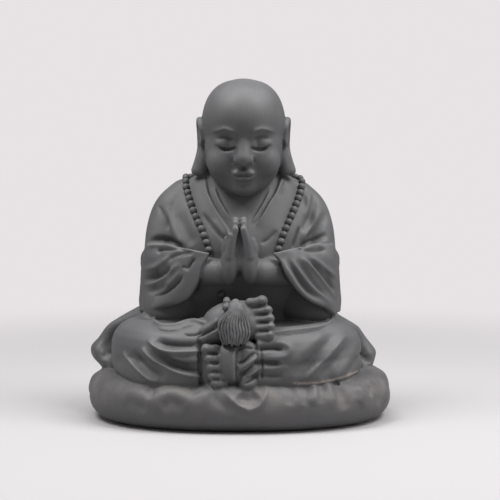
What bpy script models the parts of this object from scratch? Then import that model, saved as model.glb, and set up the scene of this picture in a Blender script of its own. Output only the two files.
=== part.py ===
"""A praying monk seated cross-legged on a cushion: a garden statue cast in one piece.

The statue faces -Y, +Z is up, and the origin is at the middle of its underside. It is built as a
sculptor would: lumps of clay are pressed together for each part of the body and the robe, rubbed
smooth, marked with folds, and then cast as one solid.
"""

import math

import bmesh
import bpy
import numpy as np
from mathutils import Euler, Matrix, Vector
from mathutils.bvhtree import BVHTree

# Driving dimensions, in metres.
CUSHION_WIDTH = 0.360
CUSHION_DEPTH = 0.262
CUSHION_HEIGHT = 0.055
FIGURE_HEIGHT = 0.345
BEAD = 0.0086
BEAD_PITCH = 0.0090
BEAD_STANDS = 0.2

# The figure is drawn in units of its own height: x to the viewer's right, y to the back and z up from
# the seat.
FIGURE_UNITS = 290.0
UNIT = FIGURE_HEIGHT / FIGURE_UNITS
HEAD_MIDDLE = (3.6, -9.0, 231.5)
HEAD_BOW = math.radians(8.0)

# What shows from the front is drawn as a viewer in front sees it, in units right of the statue's
# middle and above its foot.
VIEWER_DISTANCE = 1504.0
VIEWER_TILT = math.radians(5.0)
VIEWER_AIM = Vector((10.0, 0.0, 118.6))
PICTURE_RIGHT = 10.0
PICTURE_UP = 183.0

CLAY_GRAIN = 0.0022
SOLID_TRIANGLES = 7400
STONE_GREY = (0.16, 0.16, 0.165, 1.0)


def at(x, y, z):
    """A point of the figure, in metres."""
    return Vector((x * UNIT, y * UNIT, z * UNIT + CUSHION_HEIGHT))


def seen(right, up, y):
    """The point of the figure at depth y that the viewer sees at this place in the picture."""
    c, s = math.cos(VIEWER_TILT), math.sin(VIEWER_TILT)
    slope = (up - PICTURE_UP) / VIEWER_DISTANCE
    rise = (slope * (VIEWER_DISTANCE + y * c) - y * s) / (c + slope * s)
    scale = (VIEWER_DISTANCE + y * c - rise * s) / VIEWER_DISTANCE
    return VIEWER_AIM.x + (right - PICTURE_RIGHT) * scale, y, VIEWER_AIM.z + rise


def smooth_path(points, steps=8):
    """Points of a Catmull-Rom curve through the given ones, ends included."""
    p = np.array(points, float)
    p = np.vstack([2 * p[0] - p[1], p, 2 * p[-1] - p[-2]])
    t = np.linspace(0, 1, steps, endpoint=False)[:, None]
    found = []
    for a, b, c, d in zip(p[:-3], p[1:-2], p[2:-1], p[3:]):
        bend = (2 * a - 5 * b + 4 * c - d) * t**2 + (3 * b - a - 3 * c + d) * t**3
        found.append(0.5 * (2 * b + (c - a) * t + bend))
    found.append(p[-2:-1])
    return np.vstack(found)


def add_ball(lump, centre, radii, turn=(0, 0, 0), sides=32):
    """An ellipsoid of clay, its radii in units and its turn in degrees."""
    place = Matrix.LocRotScale(at(*centre), Euler([math.radians(a) for a in turn]), Vector(radii) * UNIT)
    bmesh.ops.create_uvsphere(lump, u_segments=sides, v_segments=sides // 2, radius=1, matrix=place)


def add_rings(lump, rings):
    """A closed skin over rings of as many points each, given in metres."""
    verts = [[lump.verts.new(p) for p in ring] for ring in rings]
    count = len(verts[0])
    for low, high in zip(verts, verts[1:]):
        for i in range(count):
            j = (i + 1) % count
            lump.faces.new((low[i], low[j], high[j], high[i]))
    lump.faces.new(verts[0][::-1])
    lump.faces.new(verts[-1])


def squared_oval(rx, ry, square, sides):
    """Points round an oval whose corners are fuller the higher `square` is; 2 gives an ellipse."""
    for k in range(sides):
        a = 2 * math.pi * k / sides
        c, s = math.cos(a), math.sin(a)
        yield rx * math.copysign(abs(c) ** (2 / square), c), ry * math.copysign(abs(s) ** (2 / square), s)


def add_loft(lump, sections, square=2.3, sides=48):
    """A soft column through level sections (height, middle x, middle y, half width, half depth)."""
    rings = []
    for z, cx, cy, rx, ry in smooth_path(sections, 6):
        rings.append([at(cx + x, cy + y, z) for x, y in squared_oval(rx, ry, square, sides)])
    add_rings(lump, rings)


def add_limb(lump, points, blunt=False, sides=20, steps=6):
    """A round limb through points (x, y, z, radius), its ends rounded or the last one cut off blunt."""
    path = smooth_path(points, steps)
    centres, radii = path[:, :3], path[:, 3]
    ahead = np.gradient(centres, axis=0)
    ahead /= np.linalg.norm(ahead, axis=1)[:, None]
    side = np.cross(ahead[0], [0.0, 0.0, 1.0])
    if np.linalg.norm(side) < 0.1:
        side = np.array([1.0, 0.0, 0.0])
    rings = []
    for i, (c, r, d) in enumerate(zip(centres, radii, ahead)):
        side = side - d * (side @ d)
        side /= np.linalg.norm(side)
        up = np.cross(side, d)
        turns = [(0.0, 1.0)]
        if i == 0:
            turns = [(-math.cos(a), math.sin(a)) for a in np.linspace(0.25, 1.57, 5)]
        if i == len(centres) - 1 and not blunt:
            turns = [(math.cos(a), math.sin(a)) for a in np.linspace(1.57, 0.25, 5)]
        for along, wide in turns:
            rings.append([at(*(c + d * r * along + (side * math.cos(t) + up * math.sin(t)) * r * wide))
                          for t in np.linspace(0, 2 * math.pi, sides, endpoint=False)])
    add_rings(lump, rings)


def add_cloth(lump, rows, thickness):
    """A layer of cloth over rows of points, its thickness in units."""
    grid = np.array([smooth_path(row, 5) for row in rows])
    grid = smooth_path(grid.reshape(len(grid), -1), 5).reshape(-1, grid.shape[1], 3)
    out = np.cross(np.gradient(grid, axis=1), np.gradient(grid, axis=0))
    out *= thickness / 2 / np.linalg.norm(out, axis=2)[:, :, None]
    add_rings(lump, [[at(*p) for p in [*(line + off), *(line - off)[::-1]]] for line, off in zip(grid, out)])


def settle(obj):
    """Makes the shape that an object's modifiers give it its own mesh."""
    graph = bpy.context.evaluated_depsgraph_get()
    mesh = bpy.data.meshes.new_from_object(obj.evaluated_get(graph))
    old = obj.data
    obj.modifiers.clear()
    obj.data = mesh
    bpy.data.meshes.remove(old)


def press(name, lump, softness, grain=CLAY_GRAIN):
    """Presses lumps into one skin and rubs it smooth over a length given in units."""
    bmesh.ops.recalc_face_normals(lump, faces=lump.faces)
    mesh = bpy.data.meshes.new(name)
    lump.to_mesh(mesh)
    lump.free()
    obj = bpy.data.objects.new(name, mesh)
    bpy.context.scene.collection.objects.link(obj)
    skin = obj.modifiers.new("skin", "REMESH")
    skin.mode = "VOXEL"
    skin.voxel_size = grain
    rub = obj.modifiers.new("rub", "SMOOTH")
    rub.factor = 0.5
    rub.iterations = round((softness * UNIT / grain) ** 2)
    settle(obj)
    return obj


def joined(objects):
    """One lump of all these objects, which are removed."""
    lump = bmesh.new()
    for obj in objects:
        lump.from_mesh(obj.data)
        mesh = obj.data
        bpy.data.objects.remove(obj)
        bpy.data.meshes.remove(mesh)
    return lump


def sight_line(right, up, turn):
    """Where a look starts and its direction: the viewer's, or a level one from this turn about the statue."""
    if turn is None:
        c, s = math.cos(VIEWER_TILT), math.sin(VIEWER_TILT)
        ahead, over = Vector((0, c, -s)), Vector((0, s, c))
        eye = VIEWER_AIM - ahead * VIEWER_DISTANCE
        aim = ahead * VIEWER_DISTANCE + Vector((right - PICTURE_RIGHT, 0, 0)) + over * (up - PICTURE_UP)
        return at(*eye), aim.normalized()
    a = math.radians(turn)
    side, back = Vector((math.cos(a), math.sin(a), 0)), Vector((math.sin(a), -math.cos(a), 0))
    return at(*(side * right + back * 400 + Vector((0, 0, up)))), -back


def on_skin(tree, line, radius):
    """Points of a limb that lies where the viewer sees this line on a skin, in units."""
    path = []
    for right, up in smooth_path(line, 4):
        hit = tree.ray_cast(*sight_line(right, up, None))[0]
        if hit is not None:
            path.append((hit.x / UNIT, hit.y / UNIT, (hit.z - CUSHION_HEIGHT) / UNIT, radius))
    return path


def arrays(obj):
    """Points and normals of a mesh."""
    found = []
    for name in ("co", "normal"):
        values = np.empty(len(obj.data.vertices) * 3, np.float32)
        obj.data.vertices.foreach_get(name, values)
        found.append(values.reshape(-1, 3).astype(float))
    return found


def skin_tree(obj):
    """A mesh ready for looks to be dropped on it."""
    return BVHTree.FromPolygons([v.co for v in obj.data.vertices], [f.vertices for f in obj.data.polygons])


PROFILES = {
    "groove": lambda d, left: -np.exp(-d * d),
    "crease": lambda d, left: -np.exp(0.4 - 1.6 * np.sqrt(d * d + 0.06)),
    "ridge": lambda d, left: np.exp(-d * d),
    "crest": lambda d, left: np.exp(0.4 - 1.6 * np.sqrt(d * d + 0.06)),
    "fold": lambda d, left: left * np.exp(-0.6 * d) - 0.5 * (1 - left) * np.exp(-1.5 * d * d),
}


def carve(obj, strokes, turn=None, place=Matrix()):
    """Marks the skin with strokes, drawn in the picture or from a level turn: kind, height, width and points.

    Heights and widths are in units. A fold is raised on the left hand of its line as it is drawn. The
    place is that of the piece that the strokes are drawn on.
    """
    points, normals = arrays(obj)
    tree = skin_tree(obj)
    raised = np.zeros(len(points))
    for kind, height, width, line in strokes:
        hits = []
        for right, up in smooth_path(line, 6):
            eye, look = sight_line(right, up, turn)
            look = place.to_3x3() @ look
            hit = tree.ray_cast(place @ eye, look)[0]
            if hit is not None:
                hits.append(hit)
        if len(hits) < 2:
            continue
        path = np.array(hits)
        look = np.array(look)
        about = 4 * width * UNIT
        near = np.where((points > path.min(0) - about).all(1) & (points < path.max(0) + about).all(1))[0]
        a = path[:-1][None]
        ab = path[1:][None] - a
        gap = points[near][:, None] - a
        t = np.clip((gap * ab).sum(2) / np.maximum((ab * ab).sum(2), 1e-12), 0, 1)
        gap = gap - ab * t[:, :, None]
        dist = np.linalg.norm(gap, axis=2)
        part = dist.argmin(1)
        rows = np.arange(len(near))
        side = np.cross(gap[rows, part], ab[0][part]) @ look
        reach = dist[rows, part] / (width * UNIT)
        left = np.clip(0.5 + np.copysign(reach, side) / 0.4, 0, 1)
        where = (part + t[rows, part]) / (len(path) - 1)
        taper = np.sin(np.clip(np.minimum(where, 1 - where) * 3.5, 0, 1) * math.pi / 2)
        facing = np.clip(1.5 - 3 * (normals[near] @ look + 0.1), 0, 1)
        raised[near] += height * taper * facing * PROFILES[kind](reach, left)
    points += normals * raised[:, None] * UNIT
    obj.data.vertices.foreach_set("co", points.ravel())
    obj.data.update()


def cushion():
    """The round-edged cushion, its cover gathered into soft puckers under the legs."""
    lump = bmesh.new()
    edge = CUSHION_HEIGHT / 2
    rings = []
    for k in range(17):
        a = -math.pi / 2 + math.pi * k / 16
        inset = edge * (1 - max(math.cos(a), 0) ** 0.85)
        rx, ry = CUSHION_WIDTH / 2 - inset, CUSHION_DEPTH / 2 - inset
        rings.append([Vector((x, y, edge + edge * math.sin(a))) for x, y in squared_oval(rx, ry, 2.3, 72)])
    add_rings(lump, rings)
    pad = press("cushion", lump, 2.5)
    carve(pad, [
        ("ridge", 2.0, 7.5, [(-118, 43), (-109, 42), (-100, 38), (-91, 32.5), (-84, 32.5), (-77, 37), (-68, 40.5),
                           (-57, 36), (-49, 31.5), (-41, 32.5), (-32, 38), (-24, 41.5), (-12, 43)]),
        ("groove", 2.0, 6, [(-116, 32), (-104, 28), (-94, 22)]),
        ("groove", 2.0, 6, [(-80, 25), (-68, 30), (-56, 24)]),
        ("groove", 1.6, 5, [(-92, 46), (-88, 40), (-86, 38)]),
        ("groove", 1.6, 5, [(-50, 48), (-46, 42), (-44, 38)]),
        ("ridge", 3.4, 2.8, [(-17, 46), (-11, 36), (-3, 29), (5, 25), (10, 23.3), (18, 26.7), (23.6, 33.6), (26, 41.6),
                             (24, 47)]),
        ("groove", 4.4, 7, [(-2, 39), (8, 34), (18, 39)]),
        ("groove", 1.8, 5, [(-30, 40), (-20, 30), (-6, 20)]),
        ("groove", 2.0, 5, [(50, 47), (52, 38), (49, 27)]),
        ("groove", 1.8, 5, [(65.7, 48), (66.5, 38), (64, 27)]),
        ("ridge", 1.8, 4.5, [(74, 50), (74.5, 40), (71, 27)]),
        ("groove", 1.4, 4, [(79.5, 50), (81, 39), (80, 29)]),
        ("ridge", 2.0, 4.5, [(86, 52), (91, 42), (98, 28)]),
        ("groove", 2.4, 6, [(98, 50), (104, 36), (108, 24)]),
        ("ridge", 1.8, 5, [(116, 48), (120, 38), (118, 30)]),
        ("groove", 1.6, 4, [(129, 48), (131, 36)]),
        ("ridge", 1.2, 6, [(46, 35), (56, 31), (68, 33), (79, 35), (88, 33), (98, 27), (108, 30), (120, 33)]),
    ])
    for turn in range(66, 300, 39):
        puckers = []
        for k, off in enumerate((-40, -20, 2, 24, 42)):
            high = 1.2 + 0.9 * abs(math.sin(turn + 2.3 * k))
            puckers.append((("groove", "ridge")[k % 2], high, 7, [(off, -4), (off + 4 * (k % 3) - 4, -16),
                                                                  (off - 2, -28)]))
        carve(pad, puckers, turn)
    return pad


def robe():
    """The trunk and upper arms under the robe, with the folds down its back."""
    lump = bmesh.new()
    add_loft(lump, [
        (-5, 0, 26, 104, 58),
        (12, 0, 24, 96, 55),
        (34, 0, 19, 84, 52),
        (58, 0, 13, 77, 50),
        (85, 0, 8, 75, 50),
        (112, 0, 6, 77, 50),
        (138, 0, 8, 78, 47),
        (160, 0, 12, 75, 40),
        (176, 1, 15, 67, 33),
        (187, 2, 15, 56, 28),
        (196, 2, 13, 42, 25),
        (204, 2, 10, 31, 23),
    ])
    for side in (-1, 1):
        add_limb(lump, [(side * 54, 16, 169, 21), (side * 66, 12, 156, 22), (side * 73, 6, 138, 21),
                        (side * 76, -2, 116, 20)])
    add_limb(lump, [(2, 14, 186, 30), (3, 10, 206, 28), (3, 4, 224, 27)])
    cloth = press("robe", lump, 7)
    drape = [("fold", 2.6, 6, [(-36, 214), (0, 202), (36, 214)])]
    for k, off in enumerate((-66, -44, -22, 0, 22, 44, 66)):
        kind, height = (("groove", 2.6), ("ridge", 2.0))[k % 2]
        drape.append((kind, height, 6, [(off * 0.7, 176 - abs(off) * 0.3), (off * 0.95, 110), (off * 1.2, 40)]))
    carve(cloth, drape, 180)
    return cloth


def robe_folds():
    """Crossed collars and the folds of the robe over the shoulders and at the elbows."""
    return [
        ("fold", 3.2, 4.5, [(-8, 196), (-11.4, 204), (-19, 216), (-26.4, 229), (-31.8, 241.6), (-35, 258)]),
        ("fold", 2.2, 3.5, [(-8.2, 213.7), (-14.6, 223.3), (-21, 235.1), (-25, 246)]),
        ("crease", 2.8, 2, [(-15, 191), (-24.3, 203), (-30.7, 211.6), (-37, 220)]),
        ("ridge", 1.2, 2.5, [(-14, 196), (-21, 205), (-27, 213)]),
        ("fold", 2.2, 3.5, [(30, 244), (22.9, 229.8), (16.4, 219), (11, 211)]),
        ("fold", 3.2, 4.5, [(42, 258), (39.5, 251.2), (34.7, 239.4), (29.3, 230.8), (22, 218), (14, 206)]),
        ("groove", 1.2, 2, [(45, 252), (42, 243), (39, 236)]),
        ("crease", 1.8, 2.6, [(37, 203), (29.3, 194.4), (20.7, 189)]),
        ("groove", 1.6, 5, [(-51, 250), (-50, 238), (-43, 218), (-33, 196)]),
        ("groove", 1.6, 5, [(58, 250), (58, 240), (51, 221), (41, 199)]),
        ("crease", 3.2, 1.8, [(60, 207), (56, 195.5), (51.8, 183)]),
        ("crease", 3.0, 3, [(-82, 228), (-76, 218), (-72.5, 211), (-70.5, 203)]),
        ("ridge", 2.6, 5, [(-75, 226), (-68, 210), (-62, 196), (-52, 184)]),
        ("groove", 1.8, 6, [(-62, 220), (-54, 202), (-46, 188)]),
        ("ridge", 2.2, 3.6, [(69, 240), (67.9, 227.6), (64.7, 215)]),
        ("ridge", 2.4, 3.6, [(79, 224), (74.3, 212.6), (67.9, 203), (60.4, 192.3)]),
        ("groove", 2.4, 4, [(75, 244), (73, 228), (69, 214), (62, 201)]),
        ("groove", 2.2, 4, [(87, 222), (82, 211), (74, 200), (66, 193)]),
        ("groove", 3.6, 2.6, [(87, 199), (74.3, 193.3), (64.7, 188), (58, 183)]),
        ("ridge", 2.2, 3, [(90, 192), (76, 187.5), (64, 183.5)]),
        ("groove", 2.6, 2.2, [(87, 183.5), (72.2, 182.6), (62, 182.6)]),
        ("groove", 4.8, 3, [(-92, 191), (-82, 194), (-72.5, 192.8), (-64, 188.6), (-54, 182)]),
        ("ridge", 1.8, 2.4, [(-94, 186), (-84, 188), (-72, 187), (-62, 181.5)]),
        ("groove", 2.8, 1.8, [(-83, 181.5), (-74.6, 184), (-62, 183)]),
    ]


def legs():
    """Folded legs under the robe, the shins crossed before the lap."""
    lump = bmesh.new()
    add_loft(lump, [
        (-5, -6, -24, 113, 52),
        (6, -6, -25, 119, 57),
        (20, -6, -26, 121, 58),
        (34, -7, -24, 117, 53),
        (45, -8, -20, 107, 42),
        (52, -8, -14, 92, 30),
    ], square=2.4)
    add_limb(lump, [(-36, 24, 30, 28), (-76, -2, 32, 26), (-100, -30, 28, 27), (-82, -58, 27, 27),
                    (-56, -70, 27, 26), (-36, -74, 27, 25)], blunt=True)
    add_limb(lump, [(-98, -34, 12, 27), (-84, -60, 10, 26), (-58, -72, 9, 24), (-36, -75, 9, 22)], blunt=True)
    add_limb(lump, [(36, 24, 30, 28), (70, -2, 30, 26), (93, -30, 26, 27), (78, -58, 26, 27), (48, -72, 26, 25.5),
                    (14, -77, 26, 24)], blunt=True)
    add_limb(lump, [(93, -34, 12, 27), (80, -60, 10, 26), (50, -74, 9, 24), (14, -78, 9, 22)], blunt=True)
    add_limb(lump, [(-62, -64, 30, 24), (-40, -68, 38, 20), (-12, -64, 48, 18)])
    shins = press("legs", lump, 4)
    tree = skin_tree(shins)
    lump = joined([shins])
    add_limb(lump, on_skin(tree, [(-97, 118), (-89, 113.5), (-79.6, 108), (-66, 107.5), (-54.4, 111),
                                  (-45.3, 112.3), (-34, 109.3), (-26, 106)], 2.6), steps=2)
    add_limb(lump, on_skin(tree, [(26, 99), (34.3, 100), (47, 102), (61.3, 103.5), (76, 105.5), (86.9, 108.5),
                                  (94, 114)], 2.2), steps=2)
    return press("legs", lump, 1.4)


def leg_folds():
    """Folds of the cloth from the knees to the crossed shins, and the shade under the robe's hem."""
    return [
        ("crest", 3.4, 2.8, [(-117, 82), (-113.9, 78.4), (-107, 69.3), (-97.9, 60.1), (-89, 54), (-80, 51)]),
        ("groove", 4.0, 4.5, [(-108, 82), (-99, 70), (-88, 61), (-74, 55)]),
        ("crest", 4.0, 2.8, [(-98, 86), (-95.1, 81.9), (-88, 75.5), (-79.6, 69.3), (-69, 63.8), (-59, 60.1),
                             (-46, 57.5), (-36, 56.5)]),
        ("groove", 4.6, 4.5, [(-87, 84), (-73, 72.5), (-58, 66.5), (-38, 64.5)]),
        ("crest", 4.0, 2.6, [(-93, 93), (-86.4, 87.6), (-79.6, 83.5), (-68, 81.5), (-54, 81.5), (-37, 82.5)]),
        ("groove", 4.6, 3.6, [(-84, 92), (-70, 88), (-54, 87.5), (-37, 89)]),
        ("ridge", 1.8, 3, [(-70, 76.5), (-54, 73.5), (-38, 73.5)]),
        ("crease", 3.0, 1.8, [(-57, 99), (-47, 98.5), (-38, 100)]),
        ("crease", 2.4, 2.4, [(-93, 110), (-79.6, 103.5), (-66, 103), (-54.4, 106.5), (-45.3, 108)]),
        ("crease", 2.0, 2.0, [(30, 96.5), (47, 98.5), (61.3, 100), (76, 102.5), (90, 107)]),
        ("groove", 5.0, 2.6, [(14, 83.5), (26, 85), (36, 85), (44, 83.5)]),
        ("ridge", 2.4, 3.2, [(32, 91), (43, 89.5), (49.5, 84.5), (47, 78), (36, 75.5), (18, 75.5)]),
        ("groove", 4.2, 2.6, [(14, 70), (27, 70.5), (41, 70)]),
        ("ridge", 2.2, 3.2, [(16, 64.5), (32, 65), (48, 67)]),
        ("groove", 2.6, 2.8, [(16, 58.5), (30, 57.5), (44, 57)]),
        ("ridge", 2.0, 5.5, [(84, 102), (71, 88), (57, 74), (44, 64)]),
        ("groove", 2.8, 5.5, [(97, 101), (83, 85), (69, 70), (54, 56)]),
        ("crest", 3.0, 4.5, [(107, 99), (96, 87), (83, 73), (70, 60), (60, 51)]),
        ("groove", 3.2, 5.5, [(112, 92), (102, 79), (91, 66), (80, 54)]),
        ("ridge", 2.2, 5.0, [(118, 88), (110, 75), (100, 62), (92, 53)]),
        ("groove", 2.0, 5.0, [(122, 80), (115, 69), (107, 58)]),
    ]


def skirt():
    """The robe's skirt, spread on the cushion behind the knees."""
    lump = bmesh.new()
    add_loft(lump, [
        (-5, -4, 24, 135, 56),
        (1.5, -4, 24, 140, 58),
        (7, -6, 24, 143, 58),
        (13.5, -7, 24, 144, 57),
        (19.5, -8.5, 24, 141.5, 54),
        (26, -8, 24, 136, 51),
        (32, -8, 24, 132, 49),
        (38, -8, 24, 128, 47),
        (44, -9, 23, 121, 45),
        (50, -9, 22, 111, 42),
        (60, -6, 20, 96, 38),
    ], square=2.5)
    cloth = press("skirt", lump, 3)
    carve(cloth, [
        ("groove", 15.0, 6.5, [(-99, 113), (-112, 111), (-120.5, 108), (-127, 103), (-132.5, 96), (-136, 87),
                               (-136, 78), (-133, 66)]),
        ("groove", 13.0, 5.5, [(97, 112), (111, 104), (120, 93), (126.5, 82), (128.5, 74), (126.5, 62)]),
    ])
    for turn in (-90, 90):
        carve(cloth, [(("groove", "ridge")[k % 2], 1.6, 6, [(off * 0.6, 52), (off, 24), (off * 1.3, 2)])
                      for k, off in enumerate((-36, -18, 0, 18, 36))], turn)
    hem = [(("groove", "ridge")[k % 2], 2.6, 6, [(off * 0.8, 56), (off * 0.93, 26), (off, 2)])
           for k, off in enumerate((-118, -94, -70, -46, -22, 2, 26, 50, 74, 98))]
    carve(cloth, hem, 180)
    return cloth


def sleeves():
    """Wide bell sleeves over the forearms, open towards the lap."""
    lump = bmesh.new()
    rims = {
        -1: [(-30, 180), (-36, 166), (-41, 151), (-52, 134), (-70, 127), (-88, 124)],
        1: [(32, 180), (42, 168), (51, 152), (64, 136), (80, 127), (91, 119)],
    }
    for side, rim in rims.items():
        rim = [np.array(seen(*p, y)) for p, y in zip(rim, (-57, -61, -61, -54, -42, -26))]
        back = [np.array((side * x, y, z)) for x, y, z in
                ((74, -20, 126), (96, -2, 117), (98, 2, 98), (99, 4, 82), (100, 4, 68), (99, 4, 56))]
        rows = []
        for a, b in zip(back, rim):
            rows.append([a, a * 0.68 + b * 0.32 + (0, -10, 1), a * 0.32 + b * 0.68 + (0, -10, 1), b])
        add_cloth(lump, rows, 4.5)
        add_loft(lump, [
            (48, side * 70, -6, 20, 22),
            (54, side * 67, -9, 28, 28),
            (66, side * 65, -9, 32, 29),
            (90, side * 66, -4, 32, 28),
            (112, side * 68, -4, 29, 30),
            (126, side * 70, -2, 24, 26),
        ])
    return press("sleeves", lump, 2.6)


def sleeve_folds():
    """Folds of the bell sleeves, from the elbow towards the rim."""
    return [
        ("groove", 2.4, 2.2, [(-74, 171), (-65, 177.5), (-54.3, 180), (-46, 180.6)]),
        ("ridge", 2.6, 3, [(-97, 163), (-84, 166.5), (-77, 171), (-70, 176)]),
        ("groove", 4.2, 3.4, [(-96, 152), (-85.3, 155.5), (-76, 159.5), (-68, 165.5)]),
        ("ridge", 2.6, 2.8, [(-97, 148), (-82, 152.6), (-70, 161), (-60, 170)]),
        ("groove", 2.0, 3, [(-93, 141), (-82, 144), (-72, 150)]),
        ("crease", 4.2, 2.2, [(-86, 136.5), (-74.6, 141), (-65, 148.3), (-56.4, 158)]),
        ("crease", 3.0, 1.8, [(-54, 162), (-49, 170), (-45, 175)]),
        ("ridge", 1.4, 2.4, [(-78, 145), (-68, 152), (-60, 162)]),
        ("crease", 2.0, 1.6, [(-33.5, 174), (-38, 164), (-41, 150), (-47, 139)]),
        ("ridge", 2.8, 3, [(42, 174), (50.7, 158), (59.3, 145), (72, 134.4), (87, 126)]),
        ("groove", 2.6, 3, [(47, 174), (57, 157), (66, 143), (78, 132)]),
        ("ridge", 2.6, 2.8, [(51, 174), (59.3, 161.2), (70, 147.3), (80.7, 137.6), (92, 130)]),
        ("groove", 2.8, 3, [(57, 174), (67, 160), (77, 147), (88, 136)]),
        ("ridge", 2.6, 2.8, [(61, 176), (70, 167.6), (80.7, 153.7), (88, 144), (96, 134)]),
        ("groove", 2.6, 3, [(67, 175), (79, 163), (90, 148), (96, 141)]),
        ("ridge", 2.4, 3, [(70, 177), (83, 166.5), (97, 155)]),
        ("crease", 2.0, 1.6, [(36, 176), (42, 167), (46, 157), (53, 146)]),
    ]


def arms():
    """Forearms from the sleeves to the hands, pressed together in prayer."""
    lump = bmesh.new()
    for side in (-1, 1):
        add_limb(lump, [(side * 74, -14, 105, 17), (side * 45, -38, 102, 15.5), (side * 20, -54, 102, 13)])
        add_ball(lump, (side * 9, -57, 110), (10, 14, 20), (0, side * -6, 0))
        add_ball(lump, (side * 7, -57, 126), (8.5, 13, 13), (0, side * -12, 0))
        for y, tip, thick in ((-70, 148, 3.4), (-64.5, 153.5, 3.6), (-58, 156, 3.7), (-51.5, 153, 3.6)):
            add_limb(lump, [(side * 9.6, y + 3, 118, thick + 1.6), (side * 7.0, y + 1, 134, thick + 1.0),
                            (side * 3.9, y, tip - thick, thick)])
        add_limb(lump, [(side * 13, -48, 112, 4.5), (side * 14.5, -46, 124, 4), (side * 12, -45, 132, 3.6)])
    add_ball(lump, (0, -42, 118), (13, 10, 22))
    add_limb(lump, [(0, -61, 112, 8), (0, -61, 128, 6.4), (0, -60, 142, 3.6)])
    return press("arms", lump, 0.8)


def toes(lump, tips, reach, lift):
    """Five toes with their nails, drawn from their tips back into the foot."""
    for right, up, y, thick in tips:
        tip = np.array(seen(right, up, y))
        root = np.array(seen(right - reach, up - lift, y + 4))
        add_limb(lump, [(*root, thick * 0.95), (*(0.5 * tip + 0.5 * root + (0, -1, 0)), thick * 0.86),
                        (*tip, thick * 1.1)])
        nail = tip + (0, -thick * 0.95, thick * 0.2)
        add_ball(lump, nail, (thick * 0.62, thick * 0.34, thick * 0.56))


def feet():
    """The crossed feet: the upper one with its toes to the right, the lower with its toes to the left."""
    lump = bmesh.new()
    add_ball(lump, (-4, -73, 57), (32, 17, 20), (-28, -6, 0))
    add_ball(lump, (8, -78, 54), (15, 13, 16), (-28, -6, 0))
    toes(lump, [(22, 132, -82, 5.2), (28, 122.8, -86, 4.2), (30, 114.6, -89, 4.1), (30.6, 106.4, -92, 4.1),
                (30, 98, -94, 4.1)], 12, 2)
    add_ball(lump, (-7, -89, 19), (19, 14, 20))
    add_ball(lump, seen(-31, 66, -88), (9, 8, 21))
    toes(lump, [(-34, 84, -97, 4.8), (-31, 74.5, -99, 4.4), (-29, 65.5, -100, 4.4), (-27.6, 57, -100, 4.3),
                (-25.6, 49.5, -100, 4.0)], -10, 0)
    add_ball(lump, seen(8, 71, -90), (13.5, 13, 20))
    add_ball(lump, seen(8, 51, -95), (9, 9, 8))
    add_limb(lump, [(*seen(-44, 90, -76), 12), (*seen(-24, 101, -80), 11)])
    for right, up, far_right, far_up in ((-46, 97, -24, 110.5), (-45, 90, -21.5, 100)):
        middle_right, middle_up = (right + far_right) / 2, (up + far_up) / 2 - 1.5
        add_limb(lump, [(*seen(right, up, -74), 4.0), (*seen(middle_right, middle_up, -84), 4.6),
                        (*seen(far_right, far_up, -86), 3.6)])
    return press("feet", lump, 0.7)


def foot_folds():
    """Folds of the cuff that is tied about the lower shin, and the creases of the feet."""
    return [
        ("crease", 4.0, 1.8, [(-3, 68), (4, 72), (10, 77), (17, 81)]),
        ("crest", 2.4, 2, [(-3, 63), (7, 69), (18, 77)]),
        ("crease", 4.0, 1.8, [(-1, 57), (8, 63), (19, 72)]),
        ("crest", 2.4, 2, [(1, 53), (9, 58), (20, 66)]),
        ("crease", 3.2, 1.8, [(4, 48), (11, 53), (19, 60)]),
        ("crease", 2.4, 1.6, [(-3, 84), (6, 86), (15, 84)]),
        ("fold", 3.4, 3.0, [(-4, 50), (-5.5, 68), (-4, 88)]),
        ("crease", 2.6, 1.4, [(21.5, 52), (22.5, 68), (20.5, 88)]),
        ("crease", 2.6, 1.4, [(-42, 95), (-31, 101.5), (-22, 106)]),
        ("crease", 2.4, 1.2, [(-34, 79.5), (-22, 79.5)]),
        ("crease", 2.4, 1.2, [(-31, 70), (-21, 70)]),
        ("crease", 2.4, 1.2, [(-30, 61.4), (-20.5, 61.4)]),
        ("crease", 2.4, 1.2, [(-28, 53.4), (-20, 53.4)]),
        ("crease", 2.2, 1.2, [(15, 126.5), (27, 128.5)]),
        ("crease", 2.2, 1.2, [(17, 118.2), (29, 119)]),
        ("crease", 2.2, 1.2, [(18, 110.4), (30, 110.6)]),
        ("crease", 2.2, 1.2, [(18, 102.2), (30, 102.2)]),
    ]


def tassel():
    """The necklace's tassel, fanned over the upper foot below its knob."""
    lump = bmesh.new()
    add_ball(lump, seen(-4.5, 130, -88), (4.6, 4.6, 4.2))
    rows = []
    for up, left, right, y in ((129, -8, 0, -88), (121, -13.5, 5, -93), (110, -21, 7, -97), (99, -19.5, 9, -100),
                               (89.5, -16, 3, -100)):
        middle = (left + right) / 2
        rows.append([seen(left, up, y + 5), seen(middle - 4, up, y - 2), seen(middle + 4, up, y - 2),
                     seen(right, up, y + 5)])
    add_cloth(lump, rows, 6)
    return press("tassel", lump, 0.8)


def tassel_cords():
    """The cords of the tassel, from under its knob to their ends."""
    cords = []
    for k in range(11):
        share = k / 10
        cords.append([(-7 + 5 * share, 126), (-13 + 17 * share, 118.5), (-20.5 + 28.5 * share, 108),
                      (-19.5 + 28.5 * share, 98), (-16.5 + 21 * share, 88.5)])
    return cords


def head_place():
    """The bow of the head and its place on the neck."""
    bow = Matrix.Rotation(HEAD_BOW, 4, "X")
    return Matrix.Translation(at(*HEAD_MIDDLE)) @ bow @ Matrix.Translation((0, 0, -CUSHION_HEIGHT))


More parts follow.
